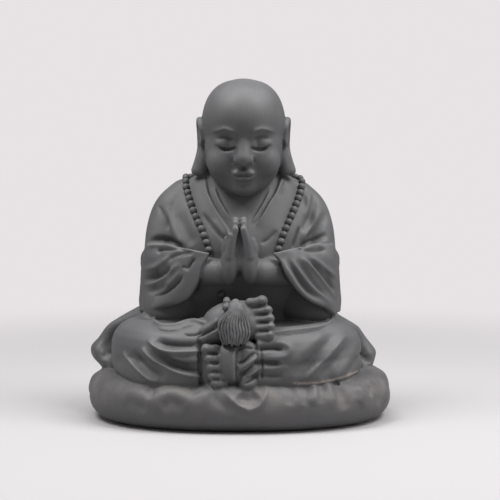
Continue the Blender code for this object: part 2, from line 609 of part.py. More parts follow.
def face_lines():
    """The fine lines of the face: closed lids, brows, nostrils and lips."""
    lines = [
        ("groove", 1.7, 1.3, [(-13.5, -29.4), (-6.5, -31.6), (0, -31.0), (6.5, -31.6), (13.5, -29.4)]),
        ("groove", 1.0, 1.8, [(0, -21.5), (0, -26)]),
    ]
    for side in (-1, 1):
        lines += [
            ("crease", 2.6, 1.3, [(side * 6.5, -3.5), (side * 12, -5.8), (side * 19, -6.2), (side * 27.5, -2.5)]),
            ("groove", 0.8, 1.4, [(side * 9, 2.4), (side * 17, 5.4), (side * 27, 2.4)]),
            ("crest", 1.2, 2.0, [(side * 7, 10.5), (side * 13, 13.6), (side * 20, 14.0), (side * 31, 9)]),
            ("groove", 1.8, 1.5, [(side * 2.2, -20.2), (side * 5.2, -19.6)]),
            ("groove", 1.1, 1.5, [(side * 9.8, -12.5), (side * 10.8, -16.5), (side * 9.4, -20)]),
        ]
    return lines


def head():
    """The bald head, modelled upright about its own middle and then bowed and set on the neck."""
    lump = bmesh.new()
    add_ball(lump, (0, 2, 16), (41.5, 45, 41.5))
    add_ball(lump, (0, -9, 20), (37, 37, 35))
    for side in (-1, 1):
        add_ball(lump, (side * 9, 0, 19), (31.5, 42, 37))
    add_ball(lump, (0, 6, -6), (34, 33, 32))
    add_ball(lump, (0, -9, -8), (38.5, 34.5, 36))
    add_ball(lump, (0, -10, -22), (36.5, 31, 32))
    add_ball(lump, (0, -15, -35), (27, 23, 19))
    add_ball(lump, (0, -28, -43), (15, 12, 11))
    add_ball(lump, (0, -29, -30), (16, 13.5, 12))
    for side in (-1, 1):
        add_ball(lump, (side * 20, -26, -20), (16.5, 15, 17))
    skull = press("skull", lump, 8)
    dents = [("groove", 2.2, 8, [(side * 10, 0), (side * 17, 1), (side * 24, 0)]) for side in (-1, 1)]
    carve(skull, dents, 0)
    lump = joined([skull])
    add_limb(lump, [(0, -35, 12, 7.5), (0, -37.5, 2, 7.0), (0, -41.0, -7, 7.4), (0, -44.0, -14, 8.0)])
    for side in (-1, 1):
        add_ball(lump, (side * 6.2, -42, -15.6), (5.0, 6.4, 4.8))
        add_ball(lump, (side * 17.6, -30.5, -1.5), (10.8, 8.6, 8.0), (0, side * 4, 0))
        add_ball(lump, (side * 4.6, -39.4, -28.2), (7.8, 4.8, 3.0), (0, side * 14, side * -16))
        add_ball(lump, (side * 3.2, -39.0, -34), (6.8, 4.8, 3.4), (0, side * -12, side * -10))
        add_limb(lump, [(side * 8, -33.5, 11.5, 2.6), (side * 15, -32.6, 13, 3.6), (side * 24, -27.6, 12, 3.4),
                        (side * 31, -21, 8, 3.0)])
    add_ball(lump, (0, -40.6, -29.0), (3.6, 4.2, 2.6))
    face = press("face", lump, 2.4)
    carve(face, face_lines()[1:] + [("groove", 1.6, 3.4, [(-8, -39.6), (0, -40.2), (8, -39.6)])], 0)
    lump = joined([face])
    for side in (-1, 1):
        add_limb(lump, [(side * 39.5, -7, 0, 2.4), (side * 42, -5, 11, 2.8), (side * 43.6, 4, 16.5, 3.0),
                        (side * 44.2, 13, 11, 3.0), (side * 43.6, 15, -1, 3.0), (side * 43, 12, -13, 3.4),
                        (side * 44, 7, -24, 4.8), (side * 46.6, 2, -34, 5.6)])
        add_ball(lump, (side * 40.5, 4, -2), (2.8, 10, 17))
        add_limb(lump, [(side * 41.6, 6, 9, 1.8), (side * 42.6, 10, 2, 2.0), (side * 42.4, 9, -8, 2.2)])
        add_ball(lump, (side * 41.4, -4.5, -5), (2.6, 2.6, 4.2))
        add_limb(lump, [(side * 38, 1, -12, 5.0), (side * 39, 1, -22, 7.0), (side * 42, 1, -32, 7.0)])
    whole = press("head", lump, 0.9)
    whole.data.transform(head_place())
    return whole


def keep_outer_skin(obj):
    """Drops the small shells that the voids between lumps leave inside."""
    skin = bmesh.new()
    skin.from_mesh(obj.data)
    left = set(skin.verts)
    shells = []
    while left:
        shell = {left.pop()}
        edge = list(shell)
        while edge:
            for link in edge.pop().link_edges:
                for vert in link.verts:
                    if vert in left:
                        left.remove(vert)
                        shell.add(vert)
                        edge.append(vert)
        shells.append(shell)
    largest = max(shells, key=len)
    bmesh.ops.delete(skin, geom=[v for v in skin.verts if v not in largest], context="VERTS")
    skin.to_mesh(obj.data)
    skin.free()


def bead_string(tree):
    """The string's path on the skin: up the right breast, behind the neck, down the left, and below the hands."""
    front = []
    for line in ([(-31, 183), (-36.4, 199), (-46, 220), (-53, 243), (-54, 256)],
                 [(61, 256), (61, 244), (54, 223), (44, 200), (38.5, 184)]):
        hits = [tree.ray_cast(*sight_line(right, up, None))[0] for right, up in smooth_path(line, 8)]
        front.append([hit for hit in hits if hit is not None])
    behind = [at(*p) for p in ((-54, 18, 196), (-40, 36, 194), (-20, 46, 190), (0, 48, 188), (20, 46, 190),
                               (42, 36, 194), (58, 18, 196))]
    low = [tree.ray_cast(*sight_line(right, up, None))[0]
           for right, up in smooth_path([(-19, 139), (-13.5, 133), (-13, 125)], 8)]
    strings = []
    for path in (front[0] + behind + front[1], low):
        path = smooth_path([tree.find_nearest(p)[0] for p in path], 4)
        found = [tree.find_nearest(Vector(p)) for p in path]
        strings.append([skin + out * BEAD * BEAD_STANDS for skin, out, _, _ in found])
    return strings


def necklace(statue):
    """Round beads set along their string."""
    tree = skin_tree(statue)
    lump = bmesh.new()
    for path in bead_string(tree):
        path = np.array(path)
        along = np.concatenate([[0], np.cumsum(np.linalg.norm(np.diff(path, axis=0), axis=1))])
        count = max(1, round(along[-1] / BEAD_PITCH))
        for k in range(count + 1):
            spot = Vector([np.interp(along[-1] * k / count, along, path[:, i]) for i in range(3)])
            skin, out, _, _ = tree.find_nearest(spot)
            place = Matrix.Translation(skin + out * BEAD * BEAD_STANDS)
            bmesh.ops.create_icosphere(lump, subdivisions=1, radius=BEAD / 2, matrix=place)
    mesh = bpy.data.meshes.new("beads")
    lump.to_mesh(mesh)
    lump.free()
    beads = bpy.data.objects.new("beads", mesh)
    bpy.context.scene.collection.objects.link(beads)
    return beads


def main():
    for obj in list(bpy.data.objects):
        bpy.data.objects.remove(obj)
    masses = [cushion(), robe(), legs(), skirt(), sleeves(), arms(), feet(), tassel(), head()]
    statue = press("buddha_statue", joined(masses), 1)
    keep_outer_skin(statue)
    carve(statue, robe_folds() + sleeve_folds() + leg_folds() + foot_folds())
    carve(statue, [("crease", 2.6, 1.5, cord) for cord in tassel_cords()])
    thin = statue.modifiers.new("thin", "DECIMATE")
    thin.ratio = SOLID_TRIANGLES / (2 * len(statue.data.polygons))
    settle(statue)
    beads = necklace(statue)
    strung = statue.modifiers.new("beads", "BOOLEAN")
    strung.operation = "UNION"
    strung.solver = "EXACT"
    strung.use_self = True
    strung.object = beads
    settle(statue)
    bpy.data.objects.remove(beads)
    stone = bpy.data.materials.new("dark_stone")
    stone.use_nodes = True
    stone.node_tree.nodes["Principled BSDF"].inputs["Base Color"].default_value = STONE_GREY
    stone.node_tree.nodes["Principled BSDF"].inputs["Roughness"].default_value = 0.7
    statue.data.materials.clear()
    statue.data.materials.append(stone)
    shelf = bpy.data.collections.new("praying_buddha_statue")
    bpy.context.scene.collection.children.link(shelf)
    bpy.context.scene.collection.objects.unlink(statue)
    shelf.objects.link(statue)


main()
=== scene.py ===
"""A praying monk seated cross-legged on a cushion: a garden statue cast in one piece of dark stone."""

import math

import bmesh
import bpy
import numpy as np
from mathutils import Euler, Matrix, Vector
from mathutils.bvhtree import BVHTree
from mathutils.kdtree import KDTree


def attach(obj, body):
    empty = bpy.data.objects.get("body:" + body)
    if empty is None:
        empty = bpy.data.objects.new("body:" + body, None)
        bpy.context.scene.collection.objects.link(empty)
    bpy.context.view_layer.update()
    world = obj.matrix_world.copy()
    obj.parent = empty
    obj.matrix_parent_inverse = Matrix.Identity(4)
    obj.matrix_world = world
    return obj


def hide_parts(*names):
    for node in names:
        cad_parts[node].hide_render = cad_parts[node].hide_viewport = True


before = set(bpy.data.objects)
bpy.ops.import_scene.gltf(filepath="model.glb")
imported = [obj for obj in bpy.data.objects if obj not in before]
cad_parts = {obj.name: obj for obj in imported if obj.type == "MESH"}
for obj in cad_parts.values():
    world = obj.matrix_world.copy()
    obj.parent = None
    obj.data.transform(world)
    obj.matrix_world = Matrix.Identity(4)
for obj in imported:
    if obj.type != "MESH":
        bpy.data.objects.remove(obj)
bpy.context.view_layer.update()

# The cushion
# The casting's foot is a low cushion with a round edge, its cover gathered in soft puckers under
# the legs. It was modelled in clay with the rest, as firm lumps rubbed smooth and marked with a tool.
CUSHION_WIDTH = 0.360
CUSHION_DEPTH = 0.262
CUSHION_HEIGHT = 0.055
FIGURE_HEIGHT = 0.345
FIGURE_UNITS = 290.0
UNIT = FIGURE_HEIGHT / FIGURE_UNITS
CLAY_GRAIN = 0.0011

VIEWER_DISTANCE = 1504.0
VIEWER_TILT = math.radians(5.0)
VIEWER_AIM = Vector((10.0, 0.0, 118.6))
PICTURE_RIGHT = 10.0
PICTURE_UP = 183.0
PICTURE_SIDE = 500.0


def at(x, y, z):
    """A point of the figure, in metres."""
    return Vector((x * UNIT, y * UNIT, z * UNIT + CUSHION_HEIGHT))


def smooth_path(points, steps=8):
    """Points of a Catmull-Rom curve through the given ones, ends included."""
    p = np.array(points, float)
    p = np.vstack([2 * p[0] - p[1], p, 2 * p[-1] - p[-2]])
    t = np.linspace(0, 1, steps, endpoint=False)[:, None]
    found = []
    for a, b, c, d in zip(p[:-3], p[1:-2], p[2:-1], p[3:]):
        bend = (2 * a - 5 * b + 4 * c - d) * t**2 + (3 * b - a - 3 * c + d) * t**3
        found.append(0.5 * (2 * b + (c - a) * t + bend))
    found.append(p[-2:-1])
    return np.vstack(found)


def squared_oval(rx, ry, square, sides):
    """Points round an oval whose corners are fuller the higher `square` is; 2 gives an ellipse."""
    for k in range(sides):
        a = 2 * math.pi * k / sides
        c, s = math.cos(a), math.sin(a)
        yield rx * math.copysign(abs(c) ** (2 / square), c), ry * math.copysign(abs(s) ** (2 / square), s)


def add_rings(lump, rings):
    """A closed skin over rings of as many points each, given in metres."""
    verts = [[lump.verts.new(p) for p in ring] for ring in rings]
    count = len(verts[0])
    for low, high in zip(verts, verts[1:]):
        for i in range(count):
            j = (i + 1) % count
            lump.faces.new((low[i], low[j], high[j], high[i]))
    lump.faces.new(verts[0][::-1])
    lump.faces.new(verts[-1])


def new_object(name, data):
    """An object in the scene for this mesh, light or camera."""
    obj = bpy.data.objects.new(name, data)
    bpy.context.scene.collection.objects.link(obj)
    return obj


def settle(obj):
    """Makes the shape that an object's modifiers give it its own mesh."""
    graph = bpy.context.evaluated_depsgraph_get()
    mesh = bpy.data.meshes.new_from_object(obj.evaluated_get(graph))
    old = obj.data
    obj.modifiers.clear()
    obj.data = mesh
    bpy.data.meshes.remove(old)


def press(name, lump, softness, grain=CLAY_GRAIN):
    """Presses lumps into one skin and rubs it smooth over a length given in units."""
    bmesh.ops.recalc_face_normals(lump, faces=lump.faces)
    mesh = bpy.data.meshes.new(name)
    lump.to_mesh(mesh)
    lump.free()
    obj = new_object(name, mesh)
    skin = obj.modifiers.new("skin", "REMESH")
    skin.mode = "VOXEL"
    skin.voxel_size = grain
    rub = obj.modifiers.new("rub", "SMOOTH")
    rub.factor = 0.5
    rub.iterations = round((softness * UNIT / grain) ** 2)
    settle(obj)
    return obj


def sight_line(right, up, turn=None):
    """Where a look starts and its direction: the viewer's, or a level one from this turn about the statue."""
    if turn is None:
        c, s = math.cos(VIEWER_TILT), math.sin(VIEWER_TILT)
        ahead, over = Vector((0, c, -s)), Vector((0, s, c))
        eye = VIEWER_AIM - ahead * VIEWER_DISTANCE
        aim = ahead * VIEWER_DISTANCE + Vector((right - PICTURE_RIGHT, 0, 0)) + over * (up - PICTURE_UP)
        return at(*eye), aim.normalized()
    a = math.radians(turn)
    side, back = Vector((math.cos(a), math.sin(a), 0)), Vector((math.sin(a), -math.cos(a), 0))
    return at(*(side * right + back * 400 + Vector((0, 0, up)))), -back


def arrays(obj):
    """Points and normals of a mesh."""
    found = []
    for name in ("co", "normal"):
        values = np.empty(len(obj.data.vertices) * 3, np.float32)
        obj.data.vertices.foreach_get(name, values)
        found.append(values.reshape(-1, 3).astype(float))
    return found


def skin_tree(obj):
    """A mesh ready for looks to be dropped on it."""
    return BVHTree.FromPolygons([v.co for v in obj.data.vertices], [f.vertices for f in obj.data.polygons])


PROFILES = {
    "groove": lambda d, left: -np.exp(-d * d),
    "crease": lambda d, left: -np.exp(0.4 - 1.6 * np.sqrt(d * d + 0.06)),
    "ridge": lambda d, left: np.exp(-d * d),
    "crest": lambda d, left: np.exp(0.4 - 1.6 * np.sqrt(d * d + 0.06)),
    "fold": lambda d, left: left * np.exp(-0.6 * d) - 0.5 * (1 - left) * np.exp(-1.5 * d * d),
}


def carve(obj, strokes, turn=None, place=Matrix()):
    """Marks the skin with strokes, drawn in the picture or from a level turn: kind, height, width and points.

    Heights and widths are in units. A fold is raised on the left hand of its line as it is drawn. The
    place is that of the piece that the strokes are drawn on.
    """
    points, normals = arrays(obj)
    tree = skin_tree(obj)
    raised = np.zeros(len(points))
    for kind, height, width, line in strokes:
        hits = []
        for right, up in smooth_path(line, 6):
            eye, look = sight_line(right, up, turn)
            look = place.to_3x3() @ look
            hit = tree.ray_cast(place @ eye, look)[0]
            if hit is not None:
                hits.append(hit)
        if len(hits) < 2:
            continue
        path = np.array(hits)
        look = np.array(look)
        about = 4 * width * UNIT
        near = np.where((points > path.min(0) - about).all(1) & (points < path.max(0) + about).all(1))[0]
        a = path[:-1][None]
        ab = path[1:][None] - a
        gap = points[near][:, None] - a
        t = np.clip((gap * ab).sum(2) / np.maximum((ab * ab).sum(2), 1e-12), 0, 1)
        gap = gap - ab * t[:, :, None]
        dist = np.linalg.norm(gap, axis=2)
        part = dist.argmin(1)
        rows = np.arange(len(near))
        side = np.cross(gap[rows, part], ab[0][part]) @ look
        reach = dist[rows, part] / (width * UNIT)
        left = np.clip(0.5 + np.copysign(reach, side) / 0.4, 0, 1)
        where = (part + t[rows, part]) / (len(path) - 1)
        taper = np.sin(np.clip(np.minimum(where, 1 - where) * 3.5, 0, 1) * math.pi / 2)
        facing = np.clip(1.5 - 3 * (normals[near] @ look + 0.1), 0, 1)
        raised[near] += height * taper * facing * PROFILES[kind](reach, left)
    points += normals * raised[:, None] * UNIT
    obj.data.vertices.foreach_set("co", points.ravel())
    obj.data.update()


def cushion():
    """The round-edged cushion, its cover gathered into soft puckers under the legs."""
    lump = bmesh.new()
    edge = CUSHION_HEIGHT / 2
    rings = []
    for k in range(17):
        a = -math.pi / 2 + math.pi * k / 16
        inset = edge * (1 - max(math.cos(a), 0) ** 0.85)
        rx, ry = CUSHION_WIDTH / 2 - inset, CUSHION_DEPTH / 2 - inset
        rings.append([Vector((x, y, edge + edge * math.sin(a))) for x, y in squared_oval(rx, ry, 2.3, 72)])
    add_rings(lump, rings)
    pad = press("cushion", lump, 2.5)
    carve(pad, [
        ("ridge", 2.0, 7.5, [(-118, 43), (-109, 42), (-100, 38), (-91, 32.5), (-84, 32.5), (-77, 37),
                             (-68, 40.5), (-57, 36), (-49, 31.5), (-41, 32.5), (-32, 38), (-24, 41.5),
                             (-12, 43)]),
        ("groove", 2.0, 6, [(-116, 32), (-104, 28), (-94, 22)]),
        ("groove", 2.0, 6, [(-80, 25), (-68, 30), (-56, 24)]),
        ("groove", 1.6, 5, [(-92, 46), (-88, 40), (-86, 38)]),
        ("groove", 1.6, 5, [(-50, 48), (-46, 42), (-44, 38)]),
        ("ridge", 3.4, 2.8, [(-17, 46), (-11, 36), (-3, 29), (5, 25), (10, 23.3), (18, 26.7), (23.6, 33.6),
                             (26, 41.6), (24, 47)]),
        ("groove", 4.4, 7, [(-2, 39), (8, 34), (18, 39)]),
        ("groove", 1.8, 5, [(-30, 40), (-20, 30), (-6, 20)]),
        ("groove", 2.0, 5, [(50, 47), (52, 38), (49, 27)]),
        ("groove", 1.8, 5, [(65.7, 48), (66.5, 38), (64, 27)]),
        ("ridge", 1.8, 4.5, [(74, 50), (74.5, 40), (71, 27)]),
        ("groove", 1.4, 4, [(79.5, 50), (81, 39), (80, 29)]),
        ("ridge", 2.0, 4.5, [(86, 52), (91, 42), (98, 28)]),
        ("groove", 2.4, 6, [(98, 50), (104, 36), (108, 24)]),
        ("ridge", 1.8, 5, [(116, 48), (120, 38), (118, 30)]),
        ("groove", 1.6, 4, [(129, 48), (131, 36)]),
        ("ridge", 1.2, 6, [(46, 35), (56, 31), (68, 33), (79, 35), (88, 33), (98, 27), (108, 30), (120, 33)]),
    ])
    for turn in range(66, 300, 39):
        puckers = []
        for k, off in enumerate((-40, -20, 2, 24, 42)):
            high = 1.2 + 0.9 * abs(math.sin(turn + 2.3 * k))
            puckers.append((("groove", "ridge")[k % 2], high, 7, [(off, -4), (off + 4 * (k % 3) - 4, -16),
                                                                  (off - 2, -28)]))
        carve(pad, puckers, turn)
    return pad


masses = [cushion()]


# The robe on the trunk
# A closed robe over the trunk and the upper arms, crossed in collars below the throat and falling
# in long folds down the back. It is one lump of clay with the neck pressed on.
def add_loft(lump, sections, square=2.3, sides=48):
    """A soft column through level sections (height, middle x, middle y, half width, half depth)."""
    rings = []
    for z, cx, cy, rx, ry in smooth_path(sections, 6):
        rings.append([at(cx + x, cy + y, z) for x, y in squared_oval(rx, ry, square, sides)])
    add_rings(lump, rings)


def add_limb(lump, points, blunt=False, sides=20, steps=6):
    """A round limb through points (x, y, z, radius), its ends rounded or the last one cut off blunt."""
    path = smooth_path(points, steps)
    centres, radii = path[:, :3], path[:, 3]
    ahead = np.gradient(centres, axis=0)
    ahead /= np.linalg.norm(ahead, axis=1)[:, None]
    side = np.cross(ahead[0], [0.0, 0.0, 1.0])
    if np.linalg.norm(side) < 0.1:
        side = np.array([1.0, 0.0, 0.0])
    rings = []
    for i, (c, r, d) in enumerate(zip(centres, radii, ahead)):
        side = side - d * (side @ d)
        side /= np.linalg.norm(side)
        up = np.cross(side, d)
        turns = [(0.0, 1.0)]
        if i == 0:
            turns = [(-math.cos(a), math.sin(a)) for a in np.linspace(0.25, 1.57, 5)]
        if i == len(centres) - 1 and not blunt:
            turns = [(math.cos(a), math.sin(a)) for a in np.linspace(1.57, 0.25, 5)]
        for along, wide in turns:
            rings.append([at(*(c + d * r * along + (side * math.cos(t) + up * math.sin(t)) * r * wide))
                          for t in np.linspace(0, 2 * math.pi, sides, endpoint=False)])
    add_rings(lump, rings)


def sided(side, points):
    """These points on the viewer's right, or at -1 on the left."""
    return [(side * across, *rest) for across, *rest in points]


def robe():
    """The trunk and upper arms under the robe, with the folds down its back."""
    lump = bmesh.new()
    add_loft(lump, [
        (-5, 0, 26, 104, 58),
        (12, 0, 24, 96, 55),
        (34, 0, 19, 84, 52),
        (58, 0, 13, 77, 50),
        (85, 0, 8, 75, 50),
        (112, 0, 6, 77, 50),
        (138, 0, 8, 78, 47),
        (160, 0, 12, 75, 40),
        (176, 1, 15, 67, 33),
        (187, 2, 15, 56, 28),
        (196, 2, 13, 42, 25),
        (204, 2, 10, 31, 23),
    ])
    for side in (-1, 1):
        add_limb(lump, sided(side, [(54, 16, 169, 21), (66, 12, 156, 22), (73, 6, 138, 21),
                                    (76, -2, 116, 20)]))
    add_limb(lump, [(2, 14, 186, 30), (3, 10, 206, 28), (3, 4, 224, 27)])
    cloth = press("robe", lump, 7)
    drape = [("fold", 2.6, 6, [(-36, 214), (0, 202), (36, 214)])]
    for k, off in enumerate((-66, -44, -22, 0, 22, 44, 66)):
        kind, height = (("groove", 2.6), ("ridge", 2.0))[k % 2]
        line = [(off * 0.7, 176 - abs(off) * 0.3), (off * 0.95, 110), (off * 1.2, 40)]
        drape.append((kind, height, 6, line))
    carve(cloth, drape, 180)
    return cloth


def robe_folds():
    """Crossed collars and the folds of the robe over the shoulders and at the elbows."""
    return [
        ("fold", 3.2, 4.5, [(-8, 196), (-11.4, 204), (-19, 216), (-26.4, 229), (-31.8, 241.6), (-35, 258)]),
        ("fold", 2.2, 3.5, [(-8.2, 213.7), (-14.6, 223.3), (-21, 235.1), (-25, 246)]),
        ("crease", 2.8, 2, [(-15, 191), (-24.3, 203), (-30.7, 211.6), (-37, 220)]),
        ("ridge", 1.2, 2.5, [(-14, 196), (-21, 205), (-27, 213)]),
        ("fold", 2.2, 3.5, [(30, 244), (22.9, 229.8), (16.4, 219), (11, 211)]),
        ("fold", 3.2, 4.5, [(42, 258), (39.5, 251.2), (34.7, 239.4), (29.3, 230.8), (22, 218), (14, 206)]),
        ("groove", 1.2, 2, [(45, 252), (42, 243), (39, 236)]),
        ("crease", 1.8, 2.6, [(37, 203), (29.3, 194.4), (20.7, 189)]),
        ("groove", 1.6, 5, [(-51, 250), (-50, 238), (-43, 218), (-33, 196)]),
        ("groove", 1.6, 5, [(58, 250), (58, 240), (51, 221), (41, 199)]),
        ("crease", 3.2, 1.8, [(60, 207), (56, 195.5), (51.8, 183)]),
        ("crease", 3.0, 3, [(-82, 228), (-76, 218), (-72.5, 211), (-70.5, 203)]),
        ("ridge", 2.6, 5, [(-75, 226), (-68, 210), (-62, 196), (-52, 184)]),
        ("groove", 1.8, 6, [(-62, 220), (-54, 202), (-46, 188)]),
        ("ridge", 2.2, 3.6, [(69, 240), (67.9, 227.6), (64.7, 215)]),
        ("ridge", 2.4, 3.6, [(79, 224), (74.3, 212.6), (67.9, 203), (60.4, 192.3)]),
        ("groove", 2.4, 4, [(75, 244), (73, 228), (69, 214), (62, 201)]),
        ("groove", 2.2, 4, [(87, 222), (82, 211), (74, 200), (66, 193)]),
        ("groove", 3.6, 2.6, [(87, 199), (74.3, 193.3), (64.7, 188), (58, 183)]),
        ("ridge", 2.2, 3, [(90, 192), (76, 187.5), (64, 183.5)]),
        ("groove", 2.6, 2.2, [(87, 183.5), (72.2, 182.6), (62, 182.6)]),
        ("groove", 4.8, 3, [(-92, 191), (-82, 194), (-72.5, 192.8), (-64, 188.6), (-54, 182)]),
        ("ridge", 1.8, 2.4, [(-94, 186), (-84, 188), (-72, 187), (-62, 181.5)]),
        ("groove", 2.8, 1.8, [(-83, 181.5), (-74.6, 184), (-62, 183)]),
    ]


masses.append(robe())
folds = robe_folds()


# The folded legs
# Both legs lie folded under the cloth, knees out and shins crossed, with the cloth drawn in folds
# from the lap to the knees.
def dropped(tree, line, steps):
    """Where the viewer sees the points of this line on a skin."""
    hits = [tree.ray_cast(*sight_line(right, up))[0] for right, up in smooth_path(line, steps)]
    return [hit for hit in hits if hit is not None]


def on_skin(tree, line, radius):
    """Points of a limb that lies where the viewer sees this line on a skin, in units."""
    return [(hit.x / UNIT, hit.y / UNIT, (hit.z - CUSHION_HEIGHT) / UNIT, radius)
            for hit in dropped(tree, line, 4)]


def joined(objects):
    """One lump of all these objects, which are removed."""
    lump = bmesh.new()
    for obj in objects:
        lump.from_mesh(obj.data)
        mesh = obj.data
        bpy.data.objects.remove(obj)
        bpy.data.meshes.remove(mesh)
    return lump


def legs():
    """Folded legs under the robe, the shins crossed before the lap."""
    lump = bmesh.new()
    add_loft(lump, [
        (-5, -6, -24, 113, 52),
        (6, -6, -25, 119, 57),
        (20, -6, -26, 121, 58),
        (34, -7, -24, 117, 53),
        (45, -8, -20, 107, 42),
        (52, -8, -14, 92, 30),
    ], square=2.4)
    add_limb(lump, [(-36, 24, 30, 28), (-76, -2, 32, 26), (-100, -30, 28, 27), (-82, -58, 27, 27),
                    (-56, -70, 27, 26), (-36, -74, 27, 25)], blunt=True)
    add_limb(lump, [(-98, -34, 12, 27), (-84, -60, 10, 26), (-58, -72, 9, 24), (-36, -75, 9, 22)], blunt=True)
    add_limb(lump, [(36, 24, 30, 28), (70, -2, 30, 26), (93, -30, 26, 27), (78, -58, 26, 27),
                    (48, -72, 26, 25.5), (14, -77, 26, 24)], blunt=True)
    add_limb(lump, [(93, -34, 12, 27), (80, -60, 10, 26), (50, -74, 9, 24), (14, -78, 9, 22)], blunt=True)
    add_limb(lump, [(-62, -64, 30, 24), (-40, -68, 38, 20), (-12, -64, 48, 18)])
    shins = press("legs", lump, 4)
    tree = skin_tree(shins)
    lump = joined([shins])
    add_limb(lump, on_skin(tree, [(-97, 118), (-89, 113.5), (-79.6, 108), (-66, 107.5), (-54.4, 111),
                                  (-45.3, 112.3), (-34, 109.3), (-26, 106)], 2.6), steps=2)
    add_limb(lump, on_skin(tree, [(26, 99), (34.3, 100), (47, 102), (61.3, 103.5), (76, 105.5), (86.9, 108.5),
                                  (94, 114)], 2.2), steps=2)
    return press("legs", lump, 1.4)


def leg_folds():
    """Folds of the cloth from the knees to the crossed shins, and the shade under the robe's hem."""
    return [
        ("crest", 3.4, 2.8, [(-117, 82), (-113.9, 78.4), (-107, 69.3), (-97.9, 60.1), (-89, 54), (-80, 51)]),
        ("groove", 4.0, 4.5, [(-108, 82), (-99, 70), (-88, 61), (-74, 55)]),
        ("crest", 4.0, 2.8, [(-98, 86), (-95.1, 81.9), (-88, 75.5), (-79.6, 69.3), (-69, 63.8), (-59, 60.1),
                             (-46, 57.5), (-36, 56.5)]),
        ("groove", 4.6, 4.5, [(-87, 84), (-73, 72.5), (-58, 66.5), (-38, 64.5)]),
        ("crest", 4.0, 2.6, [(-93, 93), (-86.4, 87.6), (-79.6, 83.5), (-68, 81.5), (-54, 81.5), (-37, 82.5)]),
        ("groove", 4.6, 3.6, [(-84, 92), (-70, 88), (-54, 87.5), (-37, 89)]),
        ("ridge", 1.8, 3, [(-70, 76.5), (-54, 73.5), (-38, 73.5)]),
        ("crease", 3.0, 1.8, [(-57, 99), (-47, 98.5), (-38, 100)]),
        ("crease", 2.4, 2.4, [(-93, 110), (-79.6, 103.5), (-66, 103), (-54.4, 106.5), (-45.3, 108)]),
        ("crease", 2.0, 2.0, [(30, 96.5), (47, 98.5), (61.3, 100), (76, 102.5), (90, 107)]),
        ("groove", 5.0, 2.6, [(14, 83.5), (26, 85), (36, 85), (44, 83.5)]),
        ("ridge", 2.4, 3.2, [(32, 91), (43, 89.5), (49.5, 84.5), (47, 78), (36, 75.5), (18, 75.5)]),
        ("groove", 4.2, 2.6, [(14, 70), (27, 70.5), (41, 70)]),
        ("ridge", 2.2, 3.2, [(16, 64.5), (32, 65), (48, 67)]),
        ("groove", 2.6, 2.8, [(16, 58.5), (30, 57.5), (44, 57)]),
        ("ridge", 2.0, 5.5, [(84, 102), (71, 88), (57, 74), (44, 64)]),
        ("groove", 2.8, 5.5, [(97, 101), (83, 85), (69, 70), (54, 56)]),
        ("crest", 3.0, 4.5, [(107, 99), (96, 87), (83, 73), (70, 60), (60, 51)]),
        ("groove", 3.2, 5.5, [(112, 92), (102, 79), (91, 66), (80, 54)]),
        ("ridge", 2.2, 5.0, [(118, 88), (110, 75), (100, 62), (92, 53)]),
        ("groove", 2.0, 5.0, [(122, 80), (115, 69), (107, 58)]),
    ]


masses.append(legs())
folds += leg_folds()


# The skirt of the robe
# The hem spreads over the cushion behind the knees, and stands a little off them as a thin lip.
def skirt():
    """The robe's skirt, spread on the cushion behind the knees."""
    lump = bmesh.new()
    add_loft(lump, [
        (-5, -4, 24, 135, 56),
        (1.5, -4, 24, 140, 58),
        (7, -6, 24, 143, 58),
        (13.5, -7, 24, 144, 57),
        (19.5, -8.5, 24, 141.5, 54),
        (26, -8, 24, 136, 51),
        (32, -8, 24, 132, 49),
        (38, -8, 24, 128, 47),
        (44, -9, 23, 121, 45),
        (50, -9, 22, 111, 42),
        (60, -6, 20, 96, 38),
    ], square=2.5)
    cloth = press("skirt", lump, 3)
    carve(cloth, [
        ("groove", 15.0, 6.5, [(-99, 113), (-112, 111), (-120.5, 108), (-127, 103), (-132.5, 96), (-136, 87),
                               (-136, 78), (-133, 66)]),
        ("groove", 13.0, 5.5, [(97, 112), (111, 104), (120, 93), (126.5, 82), (128.5, 74), (126.5, 62)]),
    ])
    for turn in (-90, 90):
        carve(cloth, [(("groove", "ridge")[k % 2], 1.6, 6, [(off * 0.6, 52), (off, 24), (off * 1.3, 2)])
                      for k, off in enumerate((-36, -18, 0, 18, 36))], turn)
    hem = [(("groove", "ridge")[k % 2], 2.6, 6, [(off * 0.8, 56), (off * 0.93, 26), (off, 2)])
           for k, off in enumerate((-118, -94, -70, -46, -22, 2, 26, 50, 74, 98))]
    carve(cloth, hem, 180)
    return cloth


masses.append(skirt())


# The sleeves
# Wide bell sleeves hang from the elbows over the lap, a sheet of clay over a fuller core, open
# towards the hands.
def seen(right, up, y):
    """The point of the figure at depth y that the viewer sees at this place in the picture."""
    c, s = math.cos(VIEWER_TILT), math.sin(VIEWER_TILT)
    slope = (up - PICTURE_UP) / VIEWER_DISTANCE
    rise = (slope * (VIEWER_DISTANCE + y * c) - y * s) / (c + slope * s)
    scale = (VIEWER_DISTANCE + y * c - rise * s) / VIEWER_DISTANCE
    return VIEWER_AIM.x + (right - PICTURE_RIGHT) * scale, y, VIEWER_AIM.z + rise


def add_cloth(lump, rows, thickness):
    """A layer of cloth over rows of points, its thickness in units."""
    grid = np.array([smooth_path(row, 5) for row in rows])
    grid = smooth_path(grid.reshape(len(grid), -1), 5).reshape(-1, grid.shape[1], 3)
    out = np.cross(np.gradient(grid, axis=1), np.gradient(grid, axis=0))
    out *= thickness / 2 / np.linalg.norm(out, axis=2)[:, :, None]
    add_rings(lump, [[at(*p) for p in [*(line + off), *(line - off)[::-1]]] for line, off in zip(grid, out)])


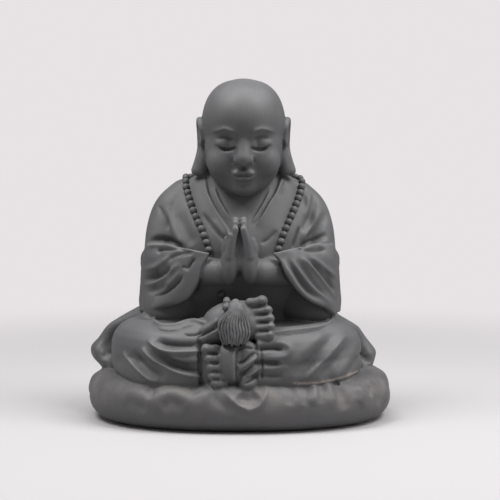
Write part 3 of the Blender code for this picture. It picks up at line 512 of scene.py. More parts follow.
def sleeves():
    """Wide bell sleeves over the forearms, open towards the lap."""
    lump = bmesh.new()
    rims = {
        -1: [(-30, 180), (-36, 166), (-41, 151), (-52, 134), (-70, 127), (-88, 124)],
        1: [(32, 180), (42, 168), (51, 152), (64, 136), (80, 127), (91, 119)],
    }
    for side, rim in rims.items():
        rim = [np.array(seen(*p, y)) for p, y in zip(rim, (-57, -61, -61, -54, -42, -26))]
        back = [np.array((side * x, y, z)) for x, y, z in
                ((74, -20, 126), (96, -2, 117), (98, 2, 98), (99, 4, 82), (100, 4, 68), (99, 4, 56))]
        rows = []
        for a, b in zip(back, rim):
            rows.append([a, a * 0.68 + b * 0.32 + (0, -10, 1), a * 0.32 + b * 0.68 + (0, -10, 1), b])
        add_cloth(lump, rows, 4.5)
        add_loft(lump, [
            (48, side * 70, -6, 20, 22),
            (54, side * 67, -9, 28, 28),
            (66, side * 65, -9, 32, 29),
            (90, side * 66, -4, 32, 28),
            (112, side * 68, -4, 29, 30),
            (126, side * 70, -2, 24, 26),
        ])
    return press("sleeves", lump, 2.6)


def sleeve_folds():
    """Folds of the bell sleeves, from the elbow towards the rim."""
    return [
        ("groove", 2.4, 2.2, [(-74, 171), (-65, 177.5), (-54.3, 180), (-46, 180.6)]),
        ("ridge", 2.6, 3, [(-97, 163), (-84, 166.5), (-77, 171), (-70, 176)]),
        ("groove", 4.2, 3.4, [(-96, 152), (-85.3, 155.5), (-76, 159.5), (-68, 165.5)]),
        ("ridge", 2.6, 2.8, [(-97, 148), (-82, 152.6), (-70, 161), (-60, 170)]),
        ("groove", 2.0, 3, [(-93, 141), (-82, 144), (-72, 150)]),
        ("crease", 4.2, 2.2, [(-86, 136.5), (-74.6, 141), (-65, 148.3), (-56.4, 158)]),
        ("crease", 3.0, 1.8, [(-54, 162), (-49, 170), (-45, 175)]),
        ("ridge", 1.4, 2.4, [(-78, 145), (-68, 152), (-60, 162)]),
        ("crease", 2.0, 1.6, [(-33.5, 174), (-38, 164), (-41, 150), (-47, 139)]),
        ("ridge", 2.8, 3, [(42, 174), (50.7, 158), (59.3, 145), (72, 134.4), (87, 126)]),
        ("groove", 2.6, 3, [(47, 174), (57, 157), (66, 143), (78, 132)]),
        ("ridge", 2.6, 2.8, [(51, 174), (59.3, 161.2), (70, 147.3), (80.7, 137.6), (92, 130)]),
        ("groove", 2.8, 3, [(57, 174), (67, 160), (77, 147), (88, 136)]),
        ("ridge", 2.6, 2.8, [(61, 176), (70, 167.6), (80.7, 153.7), (88, 144), (96, 134)]),
        ("groove", 2.6, 3, [(67, 175), (79, 163), (90, 148), (96, 141)]),
        ("ridge", 2.4, 3, [(70, 177), (83, 166.5), (97, 155)]),
        ("crease", 2.0, 1.6, [(36, 176), (42, 167), (46, 157), (53, 146)]),
    ]


masses.append(sleeves())
folds += sleeve_folds()


# The forearms and hands
# The forearms come out of the sleeves and the hands are laid palm to palm, fingers up.
def add_ball(lump, centre, radii, turn=(0, 0, 0), sides=32):
    """An ellipsoid of clay, its radii in units and its turn in degrees."""
    place = Matrix.LocRotScale(at(*centre), Euler([math.radians(a) for a in turn]), Vector(radii) * UNIT)
    bmesh.ops.create_uvsphere(lump, u_segments=sides, v_segments=sides // 2, radius=1, matrix=place)


def arms():
    """Forearms from the sleeves to the hands, pressed together in prayer."""
    lump = bmesh.new()
    for side in (-1, 1):
        add_limb(lump, sided(side, [(74, -14, 105, 17), (45, -38, 102, 15.5), (20, -54, 102, 13)]))
        add_ball(lump, (side * 9, -57, 110), (10, 14, 20), (0, side * -6, 0))
        add_ball(lump, (side * 7, -57, 126), (8.5, 13, 13), (0, side * -12, 0))
        for y, tip, thick in ((-70, 148, 3.4), (-64.5, 153.5, 3.6), (-58, 156, 3.7), (-51.5, 153, 3.6)):
            add_limb(lump, sided(side, [(9.6, y + 3, 118, thick + 1.6), (7.0, y + 1, 134, thick + 1.0),
                                        (3.9, y, tip - thick, thick)]))
        add_limb(lump, sided(side, [(13, -48, 112, 4.5), (14.5, -46, 124, 4), (12, -45, 132, 3.6)]))
    add_ball(lump, (0, -42, 118), (13, 10, 22))
    add_limb(lump, [(0, -61, 112, 8), (0, -61, 128, 6.4), (0, -60, 142, 3.6)])
    return press("arms", lump, 0.8)


masses.append(arms())


# The crossed feet
# Bare feet lie crossed before the lap, one over the other, each with five toes.
def toes(lump, tips, reach, lift):
    """Five toes with their nails, drawn from their tips back into the foot."""
    for right, up, y, thick in tips:
        tip = np.array(seen(right, up, y))
        root = np.array(seen(right - reach, up - lift, y + 4))
        add_limb(lump, [(*root, thick * 0.95), (*(0.5 * tip + 0.5 * root + (0, -1, 0)), thick * 0.86),
                        (*tip, thick * 1.1)])
        nail = tip + (0, -thick * 0.95, thick * 0.2)
        add_ball(lump, nail, (thick * 0.62, thick * 0.34, thick * 0.56))


def feet():
    """The crossed feet: the upper one with its toes to the right, the lower with its toes to the left."""
    lump = bmesh.new()
    add_ball(lump, (-4, -73, 57), (32, 17, 20), (-28, -6, 0))
    add_ball(lump, (8, -78, 54), (15, 13, 16), (-28, -6, 0))
    toes(lump, [(22, 132, -82, 5.2), (28, 122.8, -86, 4.2), (30, 114.6, -89, 4.1), (30.6, 106.4, -92, 4.1),
                (30, 98, -94, 4.1)], 12, 2)
    add_ball(lump, (-7, -89, 19), (19, 14, 20))
    add_ball(lump, seen(-31, 66, -88), (9, 8, 21))
    toes(lump, [(-34, 84, -97, 4.8), (-31, 74.5, -99, 4.4), (-29, 65.5, -100, 4.4), (-27.6, 57, -100, 4.3),
                (-25.6, 49.5, -100, 4.0)], -10, 0)
    add_ball(lump, seen(8, 71, -90), (13.5, 13, 20))
    add_ball(lump, seen(8, 51, -95), (9, 9, 8))
    add_limb(lump, [(*seen(-44, 90, -76), 12), (*seen(-24, 101, -80), 11)])
    for right, up, far_right, far_up in ((-46, 97, -24, 110.5), (-45, 90, -21.5, 100)):
        middle_right, middle_up = (right + far_right) / 2, (up + far_up) / 2 - 1.5
        add_limb(lump, [(*seen(right, up, -74), 4.0), (*seen(middle_right, middle_up, -84), 4.6),
                        (*seen(far_right, far_up, -86), 3.6)])
    return press("feet", lump, 0.7)


def foot_folds():
    """Folds of the cuff that is tied about the lower shin, and the creases between the toes."""
    creases = [
        ("crease", 4.0, 1.8, [(-3, 68), (4, 72), (10, 77), (17, 81)]),
        ("crest", 2.4, 2, [(-3, 63), (7, 69), (18, 77)]),
        ("crease", 4.0, 1.8, [(-1, 57), (8, 63), (19, 72)]),
        ("crest", 2.4, 2, [(1, 53), (9, 58), (20, 66)]),
        ("crease", 3.2, 1.8, [(4, 48), (11, 53), (19, 60)]),
        ("crease", 2.4, 1.6, [(-3, 84), (6, 86), (15, 84)]),
        ("fold", 3.4, 3.0, [(-4, 50), (-5.5, 68), (-4, 88)]),
        ("crease", 2.6, 1.4, [(21.5, 52), (22.5, 68), (20.5, 88)]),
        ("crease", 2.6, 1.4, [(-42, 95), (-31, 101.5), (-22, 106)]),
    ]
    for far, near, up in ((-34, -22, 79.5), (-31, -21, 70), (-30, -20.5, 61.4), (-28, -20, 53.4)):
        creases.append(("crease", 2.4, 1.2, [(far, up), (near, up)]))
    for near, up, far_up in ((15, 126.5, 128.5), (17, 118.2, 119), (18, 110.4, 110.6), (18, 102.2, 102.2)):
        creases.append(("crease", 2.2, 1.2, [(near, up), (near + 12, far_up)]))
    return creases


masses.append(feet())
folds += foot_folds()


# The tassel's body
# A flat fan of cord below a knob, lying over the upper foot. Its strands are laid on it later.
def tassel():
    """The necklace's tassel, fanned over the upper foot below its knob."""
    lump = bmesh.new()
    add_ball(lump, seen(-4.5, 130, -88), (4.6, 4.6, 4.2))
    rows = []
    for up, left, right, y in ((129, -8, 0, -88), (121, -13.5, 5, -93), (110, -21, 7, -97),
                               (99, -19.5, 9, -100), (89.5, -16, 3, -100)):
        middle = (left + right) / 2
        rows.append([seen(left, up, y + 5), seen(middle - 4, up, y - 2), seen(middle + 4, up, y - 2),
                     seen(right, up, y + 5)])
    add_cloth(lump, rows, 6)
    return press("tassel", lump, 0.8)


masses.append(tassel())


# The head
# A bald head, bowed a little, with long ears and closed eyes. It was modelled upright and then set
# on the neck.
HEAD_MIDDLE = (3.6, -9.0, 231.5)
HEAD_BOW = math.radians(8.0)


def head_place():
    """The bow of the head and its place on the neck."""
    bow = Matrix.Rotation(HEAD_BOW, 4, "X")
    return Matrix.Translation(at(*HEAD_MIDDLE)) @ bow @ Matrix.Translation((0, 0, -CUSHION_HEIGHT))


def face_lines():
    """The fine lines of the face: closed lids, brows, nostrils and lips."""
    lines = [
        ("groove", 1.7, 1.3, [(-13.5, -29.4), (-6.5, -31.6), (0, -31.0), (6.5, -31.6), (13.5, -29.4)]),
        ("groove", 1.0, 1.8, [(0, -21.5), (0, -26)]),
    ]
    for side in (-1, 1):
        lines += [
            ("crease", 2.6, 1.3, sided(side, [(6.5, -3.5), (12, -5.8), (19, -6.2), (27.5, -2.5)])),
            ("groove", 0.8, 1.4, sided(side, [(9, 2.4), (17, 5.4), (27, 2.4)])),
            ("crest", 1.2, 2.0, sided(side, [(7, 10.5), (13, 13.6), (20, 14.0), (31, 9)])),
            ("groove", 1.8, 1.5, sided(side, [(2.2, -20.2), (5.2, -19.6)])),
            ("groove", 1.1, 1.5, sided(side, [(9.8, -12.5), (10.8, -16.5), (9.4, -20)])),
        ]
    return lines


def head():
    """The bald head, modelled upright about its own middle and then bowed and set on the neck."""
    lump = bmesh.new()
    add_ball(lump, (0, 2, 16), (41.5, 45, 41.5))
    add_ball(lump, (0, -9, 20), (37, 37, 35))
    for side in (-1, 1):
        add_ball(lump, (side * 9, 0, 19), (31.5, 42, 37))
    add_ball(lump, (0, 6, -6), (34, 33, 32))
    add_ball(lump, (0, -9, -8), (38.5, 34.5, 36))
    add_ball(lump, (0, -10, -22), (36.5, 31, 32))
    add_ball(lump, (0, -15, -35), (27, 23, 19))
    add_ball(lump, (0, -28, -43), (15, 12, 11))
    add_ball(lump, (0, -29, -30), (16, 13.5, 12))
    for side in (-1, 1):
        add_ball(lump, (side * 20, -26, -20), (16.5, 15, 17))
    skull = press("skull", lump, 8)
    dents = [("groove", 2.2, 8, sided(side, [(10, 0), (17, 1), (24, 0)])) for side in (-1, 1)]
    carve(skull, dents, 0)
    lump = joined([skull])
    add_limb(lump, [(0, -35, 12, 7.5), (0, -37.5, 2, 7.0), (0, -41.0, -7, 7.4), (0, -44.0, -14, 8.0)])
    for side in (-1, 1):
        add_ball(lump, (side * 6.2, -42, -15.6), (5.0, 6.4, 4.8))
        add_ball(lump, (side * 17.6, -30.5, -1.5), (10.8, 8.6, 8.0), (0, side * 4, 0))
        add_ball(lump, (side * 4.6, -39.4, -28.2), (7.8, 4.8, 3.0), (0, side * 14, side * -16))
        add_ball(lump, (side * 3.2, -39.0, -34), (6.8, 4.8, 3.4), (0, side * -12, side * -10))
        add_limb(lump, sided(side, [(8, -33.5, 11.5, 2.6), (15, -32.6, 13, 3.6), (24, -27.6, 12, 3.4),
                                    (31, -21, 8, 3.0)]))
    add_ball(lump, (0, -40.6, -29.0), (3.6, 4.2, 2.6))
    face = press("face", lump, 2.4)
    carve(face, face_lines()[1:] + [("groove", 1.6, 3.4, [(-8, -39.6), (0, -40.2), (8, -39.6)])], 0)
    lump = joined([face])
    for side in (-1, 1):
        add_limb(lump, sided(side, [(39.5, -7, 0, 2.4), (42, -5, 11, 2.8), (43.6, 4, 16.5, 3.0),
                                    (44.2, 13, 11, 3.0), (43.6, 15, -1, 3.0), (43, 12, -13, 3.4),
                                    (44, 7, -24, 4.8), (46.6, 2, -34, 5.6)]))
        add_ball(lump, (side * 40.5, 4, -2), (2.8, 10, 17))
        add_limb(lump, sided(side, [(41.6, 6, 9, 1.8), (42.6, 10, 2, 2.0), (42.4, 9, -8, 2.2)]))
        add_ball(lump, (side * 41.4, -4.5, -5), (2.6, 2.6, 4.2))
        add_limb(lump, sided(side, [(38, 1, -12, 5.0), (39, 1, -22, 7.0), (42, 1, -32, 7.0)]))
    whole = press("head", lump, 0.9)
    whole.data.transform(head_place())
    return whole


masses.append(head())


# The casting
# All the lumps are pressed into one skin of dark, finely grained stone, its edges rubbed lighter, with
# two small chips, painted shade darkening its folds and hollows, and pale dust in its hollows, on the
# cushion and in a line along the right leg.
MOST_TRIANGLES = 196000
STONE = (0.070, 0.069, 0.072, 1.0)
WORN_STONE = (0.15, 0.148, 0.150, 1.0)
# Painted shade: a darker stone colour laid into the folds and hollows, where shade falls.
HOLLOW_PAINTED_SHADE = (0.040, 0.040, 0.042, 1.0)
DUST = (0.22, 0.19, 0.165, 1.0)
PALE_DUST = (0.46, 0.39, 0.33, 1.0)
CHIPS = [
    ("groove", 2.6, 1.7, [(94, 51), (97, 50), (100, 48.5)]),
    ("groove", 1.6, 1.4, [(-58, 166), (-53, 165)]),
]
DUST_LINE = [(56, 49.5), (73, 50), (87, 52), (101, 55.5), (111, 59), (120, 62.5)]
DUST_LINE_WIDTH = 0.0013
HOLLOW_REACH = 0.006


def keep_outer_skin(obj):
    """Drops the small shells that the voids between lumps leave inside."""
    skin = bmesh.new()
    skin.from_mesh(obj.data)
    left = set(skin.verts)
    shells = []
    while left:
        shell = {left.pop()}
        edge = list(shell)
        while edge:
            for link in edge.pop().link_edges:
                for vert in link.verts:
                    if vert in left:
                        left.remove(vert)
                        shell.add(vert)
                        edge.append(vert)
        shells.append(shell)
    largest = max(shells, key=len)
    bmesh.ops.delete(skin, geom=[v for v in skin.verts if v not in largest], context="VERTS")
    skin.to_mesh(obj.data)
    skin.free()


def mark_hollows(obj, reach):
    """Stores how far each point lies below or above the skin about it, from -1 in a fold to 1 on an edge."""
    copy = new_object("rubbed", obj.data.copy())
    rub = copy.modifiers.new("rub", "SMOOTH")
    rub.factor = 0.5
    rub.iterations = round((reach / CLAY_GRAIN) ** 2)
    settle(copy)
    points, normals = arrays(obj)
    rise = ((points - arrays(copy)[0]) * normals).sum(1) / reach
    bpy.data.objects.remove(copy)
    return np.clip(rise * 4, -1, 1)


def store(obj, name, points, values):
    """Gives each vertex of a thinned mesh the value of the nearest point of the full one."""
    tree = KDTree(len(points))
    for i, point in enumerate(points):
        tree.insert(point, i)
    tree.balance()
    found = [values[tree.find(v.co)[1]] for v in obj.data.vertices]
    obj.data.attributes.new(name, "FLOAT", "POINT").data.foreach_set("value", found)


def near_line(points, tree, line, reach):
    """How near each point is to a line that the viewer sees on the skin, from 0 to 1."""
    apart = np.full(len(points), 1.0)
    for hit in dropped(tree, line, 12):
        apart = np.minimum(apart, np.linalg.norm(points - np.array(hit), axis=1))
    return np.exp(-(apart / reach) ** 2)


def new_group(name, inputs, outputs):
    """An empty shader group with these named sockets, and its input and output nodes."""
    tree = bpy.data.node_groups.new(name, "ShaderNodeTree")
    for label, value in inputs.items():
        tree.interface.new_socket(label, in_out="INPUT", socket_type="NodeSocketFloat").default_value = value
    for label in outputs:
        tree.interface.new_socket(label, in_out="OUTPUT", socket_type="NodeSocketFloat")
    return tree, tree.nodes.new("NodeGroupInput"), tree.nodes.new("NodeGroupOutput")


def add_node(tree, kind, links=(), **settings):
    """A node with its settings, its inputs linked or set as (socket, source or value)."""
    node = tree.nodes.new(kind)
    for name, value in settings.items():
        setattr(node, name, value)
    for socket, value in links:
        if isinstance(value, bpy.types.NodeSocket):
            tree.links.new(value, node.inputs[socket])
        else:
            node.inputs[socket].default_value = value
    return node


def ramp(tree, value, low, high):
    """A value of 0 to 1 as another goes from low to high."""
    links = [("Value", value), ("From Min", low), ("From Max", high)]
    return add_node(tree, "ShaderNodeMapRange", links, interpolation_type="SMOOTHSTEP").outputs["Result"]


def sums(tree, operation, a, b):
    """Two values added, multiplied or the like."""
    return add_node(tree, "ShaderNodeMath", [(0, a), (1, b)], operation=operation).outputs[0]


def noise(tree, place, scale, detail, roughness=0.5):
    """A cloudy value of 0 to 1 that changes from place to place."""
    links = [("Vector", place), ("Scale", scale), ("Detail", detail), ("Roughness", roughness)]
    return add_node(tree, "ShaderNodeTexNoise", links).outputs[0]


def grain_group():
    """Stone grain: a slow tone, a fine speckle and the height of its small pits."""
    tree, _, out = new_group("stone_grain", {}, ["Tone", "Speckle", "Height"])
    place = add_node(tree, "ShaderNodeTexCoord").outputs["Object"]
    slow = noise(tree, place, 22.0, 4.0)
    fine = noise(tree, place, 900.0, 3.0)
    rough = noise(tree, place, 260.0, 5.0, 0.6)
    pits = add_node(tree, "ShaderNodeTexVoronoi", [("Vector", place), ("Scale", 420.0)]).outputs["Distance"]
    pit = ramp(tree, pits, 0.05, 0.22)
    height = sums(tree, "ADD", sums(tree, "MULTIPLY", rough, 0.8), sums(tree, "MULTIPLY", pit, 0.25))
    tree.links.new(slow, out.inputs["Tone"])
    tree.links.new(fine, out.inputs["Speckle"])
    tree.links.new(height, out.inputs["Height"])
    return tree


def dust_group():
    """Where dust lies: in hollows, and on what faces up near the foot."""
    inputs = {"Hollow": 0.0, "In hollows": 1.0, "On the foot": 1.0}
    tree, came, out = new_group("settled_dust", inputs, ["Dust"])
    place = add_node(tree, "ShaderNodeTexCoord").outputs["Object"]
    height = add_node(tree, "ShaderNodeSeparateXYZ", [(0, place)]).outputs["Z"]
    normal = add_node(tree, "ShaderNodeNewGeometry").outputs["Normal"]
    up = add_node(tree, "ShaderNodeSeparateXYZ", [(0, normal)])
    cloud = noise(tree, place, 45.0, 6.0, 0.65)
    patchy = ramp(tree, cloud, 0.42, 0.68)
    low = ramp(tree, height, 0.085, 0.02)
    facing = ramp(tree, up.outputs["Z"], -0.5, 0.7)
    foot = sums(tree, "MULTIPLY", sums(tree, "MULTIPLY", low, facing), sums(tree, "ADD", patchy, 0.25))
    deep = sums(tree, "MULTIPLY", ramp(tree, came.outputs["Hollow"], -0.1, -0.9), patchy)
    foot = sums(tree, "MULTIPLY", foot, came.outputs["On the foot"])
    deep = sums(tree, "MULTIPLY", deep, came.outputs["In hollows"])
    both = add_node(tree, "ShaderNodeMath", [(0, foot), (1, deep)], operation="ADD", use_clamp=True)
    tree.links.new(both.outputs[0], out.inputs["Dust"])
    return tree


GRAIN, SETTLED = grain_group(), dust_group()


def mix(tree, share, a, b):
    """One colour turning into another."""
    node = add_node(tree, "ShaderNodeMix", data_type="RGBA")
    for socket, value in ((node.inputs[0], share), (node.inputs[6], a), (node.inputs[7], b)):
        if isinstance(value, bpy.types.NodeSocket):
            tree.links.new(value, socket)
        else:
            socket.default_value = value
    return node.outputs[2]


def stone_material(name, in_hollows, on_foot):
    """Dark stone with its grain, rubbed edges, dust, and painted shade darkening its folds and hollows."""
    stone = bpy.data.materials.new(name)
    stone.use_nodes = True
    tree = stone.node_tree
    shader = tree.nodes["Principled BSDF"]
    grain = add_node(tree, "ShaderNodeGroup", node_tree=GRAIN)
    hollow = add_node(tree, "ShaderNodeAttribute", attribute_name="hollow").outputs["Fac"]
    settled = add_node(tree, "ShaderNodeGroup", node_tree=SETTLED)
    settled.inputs["In hollows"].default_value = in_hollows
    settled.inputs["On the foot"].default_value = on_foot
    tree.links.new(hollow, settled.inputs["Hollow"])
    tone = ramp(tree, grain.outputs["Tone"], 0.3, 0.7)
    worn = ramp(tree, hollow, 0.1, 0.9)
    # The folds and hollows are painted darker here: painted shade, not the stone's own colour.
    deep = ramp(tree, hollow, -0.05, -0.8)
    line = add_node(tree, "ShaderNodeAttribute", attribute_name="dust_line").outputs["Fac"]
    broken = sums(tree, "MULTIPLY", line, ramp(tree, grain.outputs["Speckle"], 0.25, 0.55))
    speckle = ramp(tree, grain.outputs["Speckle"], 0.35, 0.75)
    colour = STONE
    for share, most, tint in ((tone, 0.25, WORN_STONE), (worn, 0.55, WORN_STONE),
                              (deep, 0.6, HOLLOW_PAINTED_SHADE), (settled.outputs["Dust"], 0.34, DUST),
                              (broken, 0.75, PALE_DUST), (speckle, 0.12, WORN_STONE)):
        colour = mix(tree, sums(tree, "MULTIPLY", share, most), colour, tint)
    tree.links.new(colour, shader.inputs["Base Color"])
    rough = add_node(tree, "ShaderNodeMapRange", [("Value", grain.outputs["Tone"]), ("From Min", 0.3),
                                                  ("From Max", 0.7), ("To Min", 0.52), ("To Max", 0.68)])
    tree.links.new(rough.outputs["Result"], shader.inputs["Roughness"])
    shader.inputs["Specular IOR Level"].default_value = 0.45
    bump = add_node(tree, "ShaderNodeBump", [("Height", grain.outputs["Height"]), ("Strength", 0.35),
                                             ("Distance", 0.0006)])
    tree.links.new(bump.outputs["Normal"], shader.inputs["Normal"])
    return stone


def dress(obj, material):
    """Gives a finished piece its material, smooth faces and its place in the frame."""
    obj.data.materials.clear()
    obj.data.materials.append(material)
    obj.data.polygons.foreach_set("use_smooth", [True] * len(obj.data.polygons))
    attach(obj, "root")


statue = press("statue", joined(masses), 1)
keep_outer_skin(statue)
carve(statue, folds + CHIPS)
carve(statue, face_lines(), 0, head_place())
full_points = arrays(statue)[0]
full_hollows = mark_hollows(statue, HOLLOW_REACH)
skin = skin_tree(statue)
thin = statue.modifiers.new("thin", "DECIMATE")
thin.ratio = min(1.0, MOST_TRIANGLES / (2 * len(statue.data.polygons)))
settle(statue)
store(statue, "hollow", full_points, full_hollows)
lined = near_line(arrays(statue)[0], skin, DUST_LINE, DUST_LINE_WIDTH)
statue.data.attributes.new("dust_line", "FLOAT", "POINT").data.foreach_set("value", lined)
stone = stone_material("dark_stone_statue", in_hollows=0.55, on_foot=0.9)
dress(statue, stone)
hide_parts("buddha_statue")


# The necklace
# A long string of round stone beads, cast with the figure: over the robe, behind the neck, and
# again below the hands. Nodes set the beads along the string at their pitch.
BEAD = 0.0086
BEAD_PITCH = 0.0090
BEAD_STANDS = 0.2
BEAD_SEED = 3


def new_socket(tree, label, kind, value=None):
    """A named input of a nodes modifier; the identifier that the modifier knows it by is returned."""
    socket = tree.interface.new_socket(label, in_out="INPUT", socket_type=kind)
    if value is not None:
        socket.default_value = value
    return socket.identifier


def geometry_tree(name, sizes, seed, material):
    """A geometry tree with its sockets and the curve of its string, and what its modifier is set to."""
    tree = bpy.data.node_groups.new(name, "GeometryNodeTree")
    tree.interface.new_socket("String", in_out="INPUT", socket_type="NodeSocketGeometry")
    tree.interface.new_socket("Result", in_out="OUTPUT", socket_type="NodeSocketGeometry")
    values = {}
    for label, value in sizes.items():
        values[new_socket(tree, label, "NodeSocketFloat", value)] = value
    values[new_socket(tree, "Seed", "NodeSocketInt", seed)] = seed
    values[new_socket(tree, "Material", "NodeSocketMaterial")] = material
    came, out = tree.nodes.new("NodeGroupInput"), tree.nodes.new("NodeGroupOutput")
    curve = add_node(tree, "GeometryNodeMeshToCurve", [("Mesh", came.outputs["String"])])
    return tree, came, out, curve.outputs["Curve"], values


def finish_tree(tree, made, came, out):
    """Makes what the tree has made real, and gives it its material."""
    real = add_node(tree, "GeometryNodeRealizeInstances", [("Geometry", made)])
    done = add_node(tree, "GeometryNodeSetMaterial", [("Geometry", real.outputs["Geometry"]),
                                                      ("Material", came.outputs["Material"])])
    tree.links.new(done.outputs["Geometry"], out.inputs["Result"])


def run_nodes(name, lines, tree, values):
    """A plain mesh of what the tree makes of these lines of points."""
    mesh = bpy.data.meshes.new(name + "_lines")
    points, edges = [], []
    for line in lines:
        start = len(points)
        points += [tuple(p) for p in line]
        edges += [(start + i, start + i + 1) for i in range(len(line) - 1)]
    mesh.from_pydata(points, edges, [])
    obj = new_object(name, mesh)
    modifier = obj.modifiers.new(name, "NODES")
    modifier.node_group = tree
    for identifier, value in values.items():
        modifier[identifier] = value
    settle(obj)
    return obj


def bead_tree(material):
    """Beads set along the string, each turned and a little larger or smaller."""
    sizes = {"Bead size": BEAD, "Pitch": BEAD_PITCH}
    tree, came, out, curve, values = geometry_tree("bead_string", sizes, BEAD_SEED, material)
    spots = add_node(tree, "GeometryNodeCurveToPoints", [("Curve", curve),
                                                         ("Length", came.outputs["Pitch"])], mode="LENGTH")
    half = sums(tree, "MULTIPLY", came.outputs["Bead size"], 0.5)
    ball = add_node(tree, "GeometryNodeMeshIcoSphere", [("Radius", half), ("Subdivisions", 3)])
    turn = add_node(tree, "FunctionNodeRandomValue", [("Seed", came.outputs["Seed"])],
                    data_type="FLOAT_VECTOR")
    turn.inputs[1].default_value = (6.28, 6.28, 6.28)
    girth = add_node(tree, "FunctionNodeRandomValue", [("Seed", came.outputs["Seed"])], data_type="FLOAT")
    girth.inputs[2].default_value = 0.95
    girth.inputs[3].default_value = 1.05
    beads = add_node(tree, "GeometryNodeInstanceOnPoints", [("Points", spots.outputs["Points"]),
                                                            ("Instance", ball.outputs["Mesh"]),
                                                            ("Rotation", turn.outputs[0]),
                                                            ("Scale", girth.outputs[1])])
    finish_tree(tree, beads.outputs["Instances"], came, out)
    return tree, values


def bead_string(tree):
    """The string's path: up the right breast, behind the neck, down the left, and below the hands."""
    rise = dropped(tree, [(-31, 183), (-36.4, 199), (-46, 220), (-53, 243), (-54, 256)], 8)
    fall = dropped(tree, [(61, 256), (61, 244), (54, 223), (44, 200), (38.5, 184)], 8)
    behind = [at(*p) for p in ((-54, 18, 196), (-40, 36, 194), (-20, 46, 190), (0, 48, 188), (20, 46, 190),
                               (42, 36, 194), (58, 18, 196))]
    low = dropped(tree, [(-19, 139), (-13.5, 133), (-13, 125)], 8)
    strings = []
    for path in (rise + behind + fall, low):
        path = smooth_path([tree.find_nearest(p)[0] for p in path], 4)
        found = [tree.find_nearest(Vector(p)) for p in path]
        strings.append([skin + out * BEAD * BEAD_STANDS for skin, out, _, _ in found])
    return strings


bead_stone = stone_material("dark_stone_beads", in_hollows=0.2, on_foot=0.0)
beads = run_nodes("necklace_beads", bead_string(skin), *bead_tree(bead_stone))
dress(beads, bead_stone)


# The tassel's cords
# Eleven thick cords fan from under the knob over the tassel's body and end in a level, slightly
# ragged cut. Nodes sweep a round section along each and make it waver a little.
CORD = 0.0033
CORD_WAVER = 0.0006
CORD_SEED = 5


def cord_tree(material):
    """Round cords swept along their lines, thinner at the knob, each wavering a little."""
    sizes = {"Cord size": CORD, "Waver": CORD_WAVER}
    tree, came, out, curve, values = geometry_tree("tassel_cords", sizes, CORD_SEED, material)
    even = add_node(tree, "GeometryNodeResampleCurve", [("Curve", curve), ("Count", 28)], mode="COUNT")
    place = add_node(tree, "GeometryNodeInputPosition")
    seeded = sums(tree, "MULTIPLY", came.outputs["Seed"], 3.7)
    drift = add_node(tree, "ShaderNodeTexNoise", [("Vector", place.outputs[0]), ("W", seeded),
                                                  ("Scale", 160.0)], noise_dimensions="4D")
    centred = add_node(tree, "ShaderNodeVectorMath", [(0, drift.outputs["Color"]), (1, (0.5, 0.5, 0.5))],
                       operation="SUBTRACT")
    shift = add_node(tree, "ShaderNodeVectorMath", [(0, centred.outputs[0])], operation="SCALE")
    tree.links.new(sums(tree, "MULTIPLY", came.outputs["Waver"], 4.0), shift.inputs["Scale"])
    moved = add_node(tree, "GeometryNodeSetPosition", [("Geometry", even.outputs["Curve"]),
                                                       ("Offset", shift.outputs[0])])
    along = add_node(tree, "GeometryNodeSplineParameter")
    girth = add_node(tree, "ShaderNodeMapRange", [("Value", along.outputs["Factor"]), ("From Max", 0.35),
                                                  ("To Min", 0.55), ("To Max", 1.0)])
    thick = add_node(tree, "GeometryNodeSetCurveRadius", [("Curve", moved.outputs["Geometry"]),
                                                          ("Radius", girth.outputs["Result"])])
    half = sums(tree, "MULTIPLY", came.outputs["Cord size"], 0.5)
    ring = add_node(tree, "GeometryNodeCurvePrimitiveCircle", [("Resolution", 12), ("Radius", half)])
    swept = add_node(tree, "GeometryNodeCurveToMesh", [("Curve", thick.outputs["Curve"]),
                                                       ("Profile Curve", ring.outputs["Curve"]),
                                                       ("Fill Caps", True)])
    finish_tree(tree, swept.outputs["Mesh"], came, out)
    return tree, values


def tassel_cords():
    """The cords of the tassel, from under its knob to their ends."""
    cords = []
    for k in range(11):
        share = k / 10
        cords.append([(-7 + 5 * share, 126), (-13 + 17 * share, 118.5), (-20.5 + 28.5 * share, 108),
                      (-19.5 + 28.5 * share, 98), (-16.5 + 21 * share, 88.5)])
    return cords


laid = []
for k, cord in enumerate(tassel_cords()):
    ragged = 1.2 * math.sin(2.6 * k)
    laid.append(dropped(skin, cord[:-1] + [(cord[-1][0], cord[-1][1] + ragged)], 8))
cords = run_nodes("tassel_cords", laid, *cord_tree(bead_stone))
dress(cords, bead_stone)


# The floor, the light and the camera
# A plain pale floor, soft studio lights high on each side and above with a weaker low one on each
# side, and the camera where the picture was taken from.
CAMERA_SENSOR = 36.0


def area_light(name, place, size, power):
    light = bpy.data.lights.new(name, "AREA")
    light.size = size
    light.energy = power
    obj = new_object(name, light)
    obj.location = place
    obj.rotation_euler = (Vector((0, 0, 0.2)) - Vector(place)).to_track_quat("-Z", "Y").to_euler()


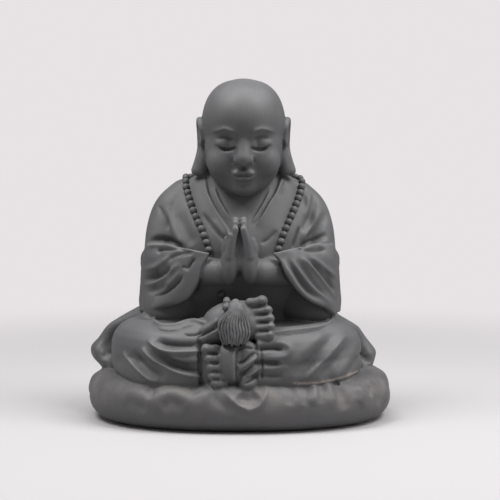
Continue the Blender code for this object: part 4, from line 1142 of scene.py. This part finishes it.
area_light("left_light", (-0.75, -0.35, 1.6), 0.7, 26)
area_light("right_light", (0.85, -0.35, 1.55), 0.7, 28)
area_light("top_light", (0.0, 0.15, 1.95), 0.9, 14)
area_light("low_right_light", (1.5, -0.5, 0.7), 0.8, 6)
area_light("low_left_light", (-1.5, -0.5, 0.7), 0.8, 2)

floor_mesh = bpy.data.meshes.new("floor")
floor_mesh.from_pydata([(-3, -3, 0), (3, -3, 0), (3, 3, 0), (-3, 3, 0)], [], [(0, 1, 2, 3)])
floor = new_object("floor", floor_mesh)
paper = bpy.data.materials.new("floor_paper")
paper.use_nodes = True
sheet = paper.node_tree
matt = sheet.nodes["Principled BSDF"]
matt.inputs["Base Color"].default_value = (0.39, 0.38, 0.385, 1)
matt.inputs["Roughness"].default_value = 0.9
spot = add_node(sheet, "ShaderNodeTexCoord").outputs["Object"]
far = add_node(sheet, "ShaderNodeVectorMath", [(0, spot)], operation="LENGTH").outputs["Value"]
sheet.links.new(ramp(sheet, far, 1.1, 0.4), matt.inputs["Alpha"])
floor_mesh.materials.append(paper)

world = bpy.data.worlds.new("studio")
world.use_nodes = True
sky = world.node_tree
look = sky.nodes["Background"]
look.inputs[0].default_value = (0.80, 0.77, 0.785, 1)
look.inputs[1].default_value = 1.0
fill = add_node(sky, "ShaderNodeBackground", [(0, (0.85, 0.84, 0.85, 1)), (1, 0.3)])
path = add_node(sky, "ShaderNodeLightPath")
choose = add_node(sky, "ShaderNodeMixShader", [(0, path.outputs["Is Camera Ray"]), (1, fill.outputs[0]),
                                               (2, look.outputs[0])])
sky.links.new(choose.outputs[0], sky.nodes["World Output"].inputs["Surface"])
bpy.context.scene.world = world
bpy.context.scene.view_settings.view_transform = "Standard"

camera = new_object("camera", bpy.data.cameras.new("camera"))
ahead = Vector((0, math.cos(VIEWER_TILT), -math.sin(VIEWER_TILT)))
camera.location = at(*VIEWER_AIM) - ahead * VIEWER_DISTANCE * UNIT
camera.rotation_euler = ahead.to_track_quat("-Z", "Y").to_euler()
camera.data.lens = VIEWER_DISTANCE / PICTURE_SIDE * CAMERA_SENSOR
camera.data.clip_end = 100.0
bpy.context.scene.camera = camera
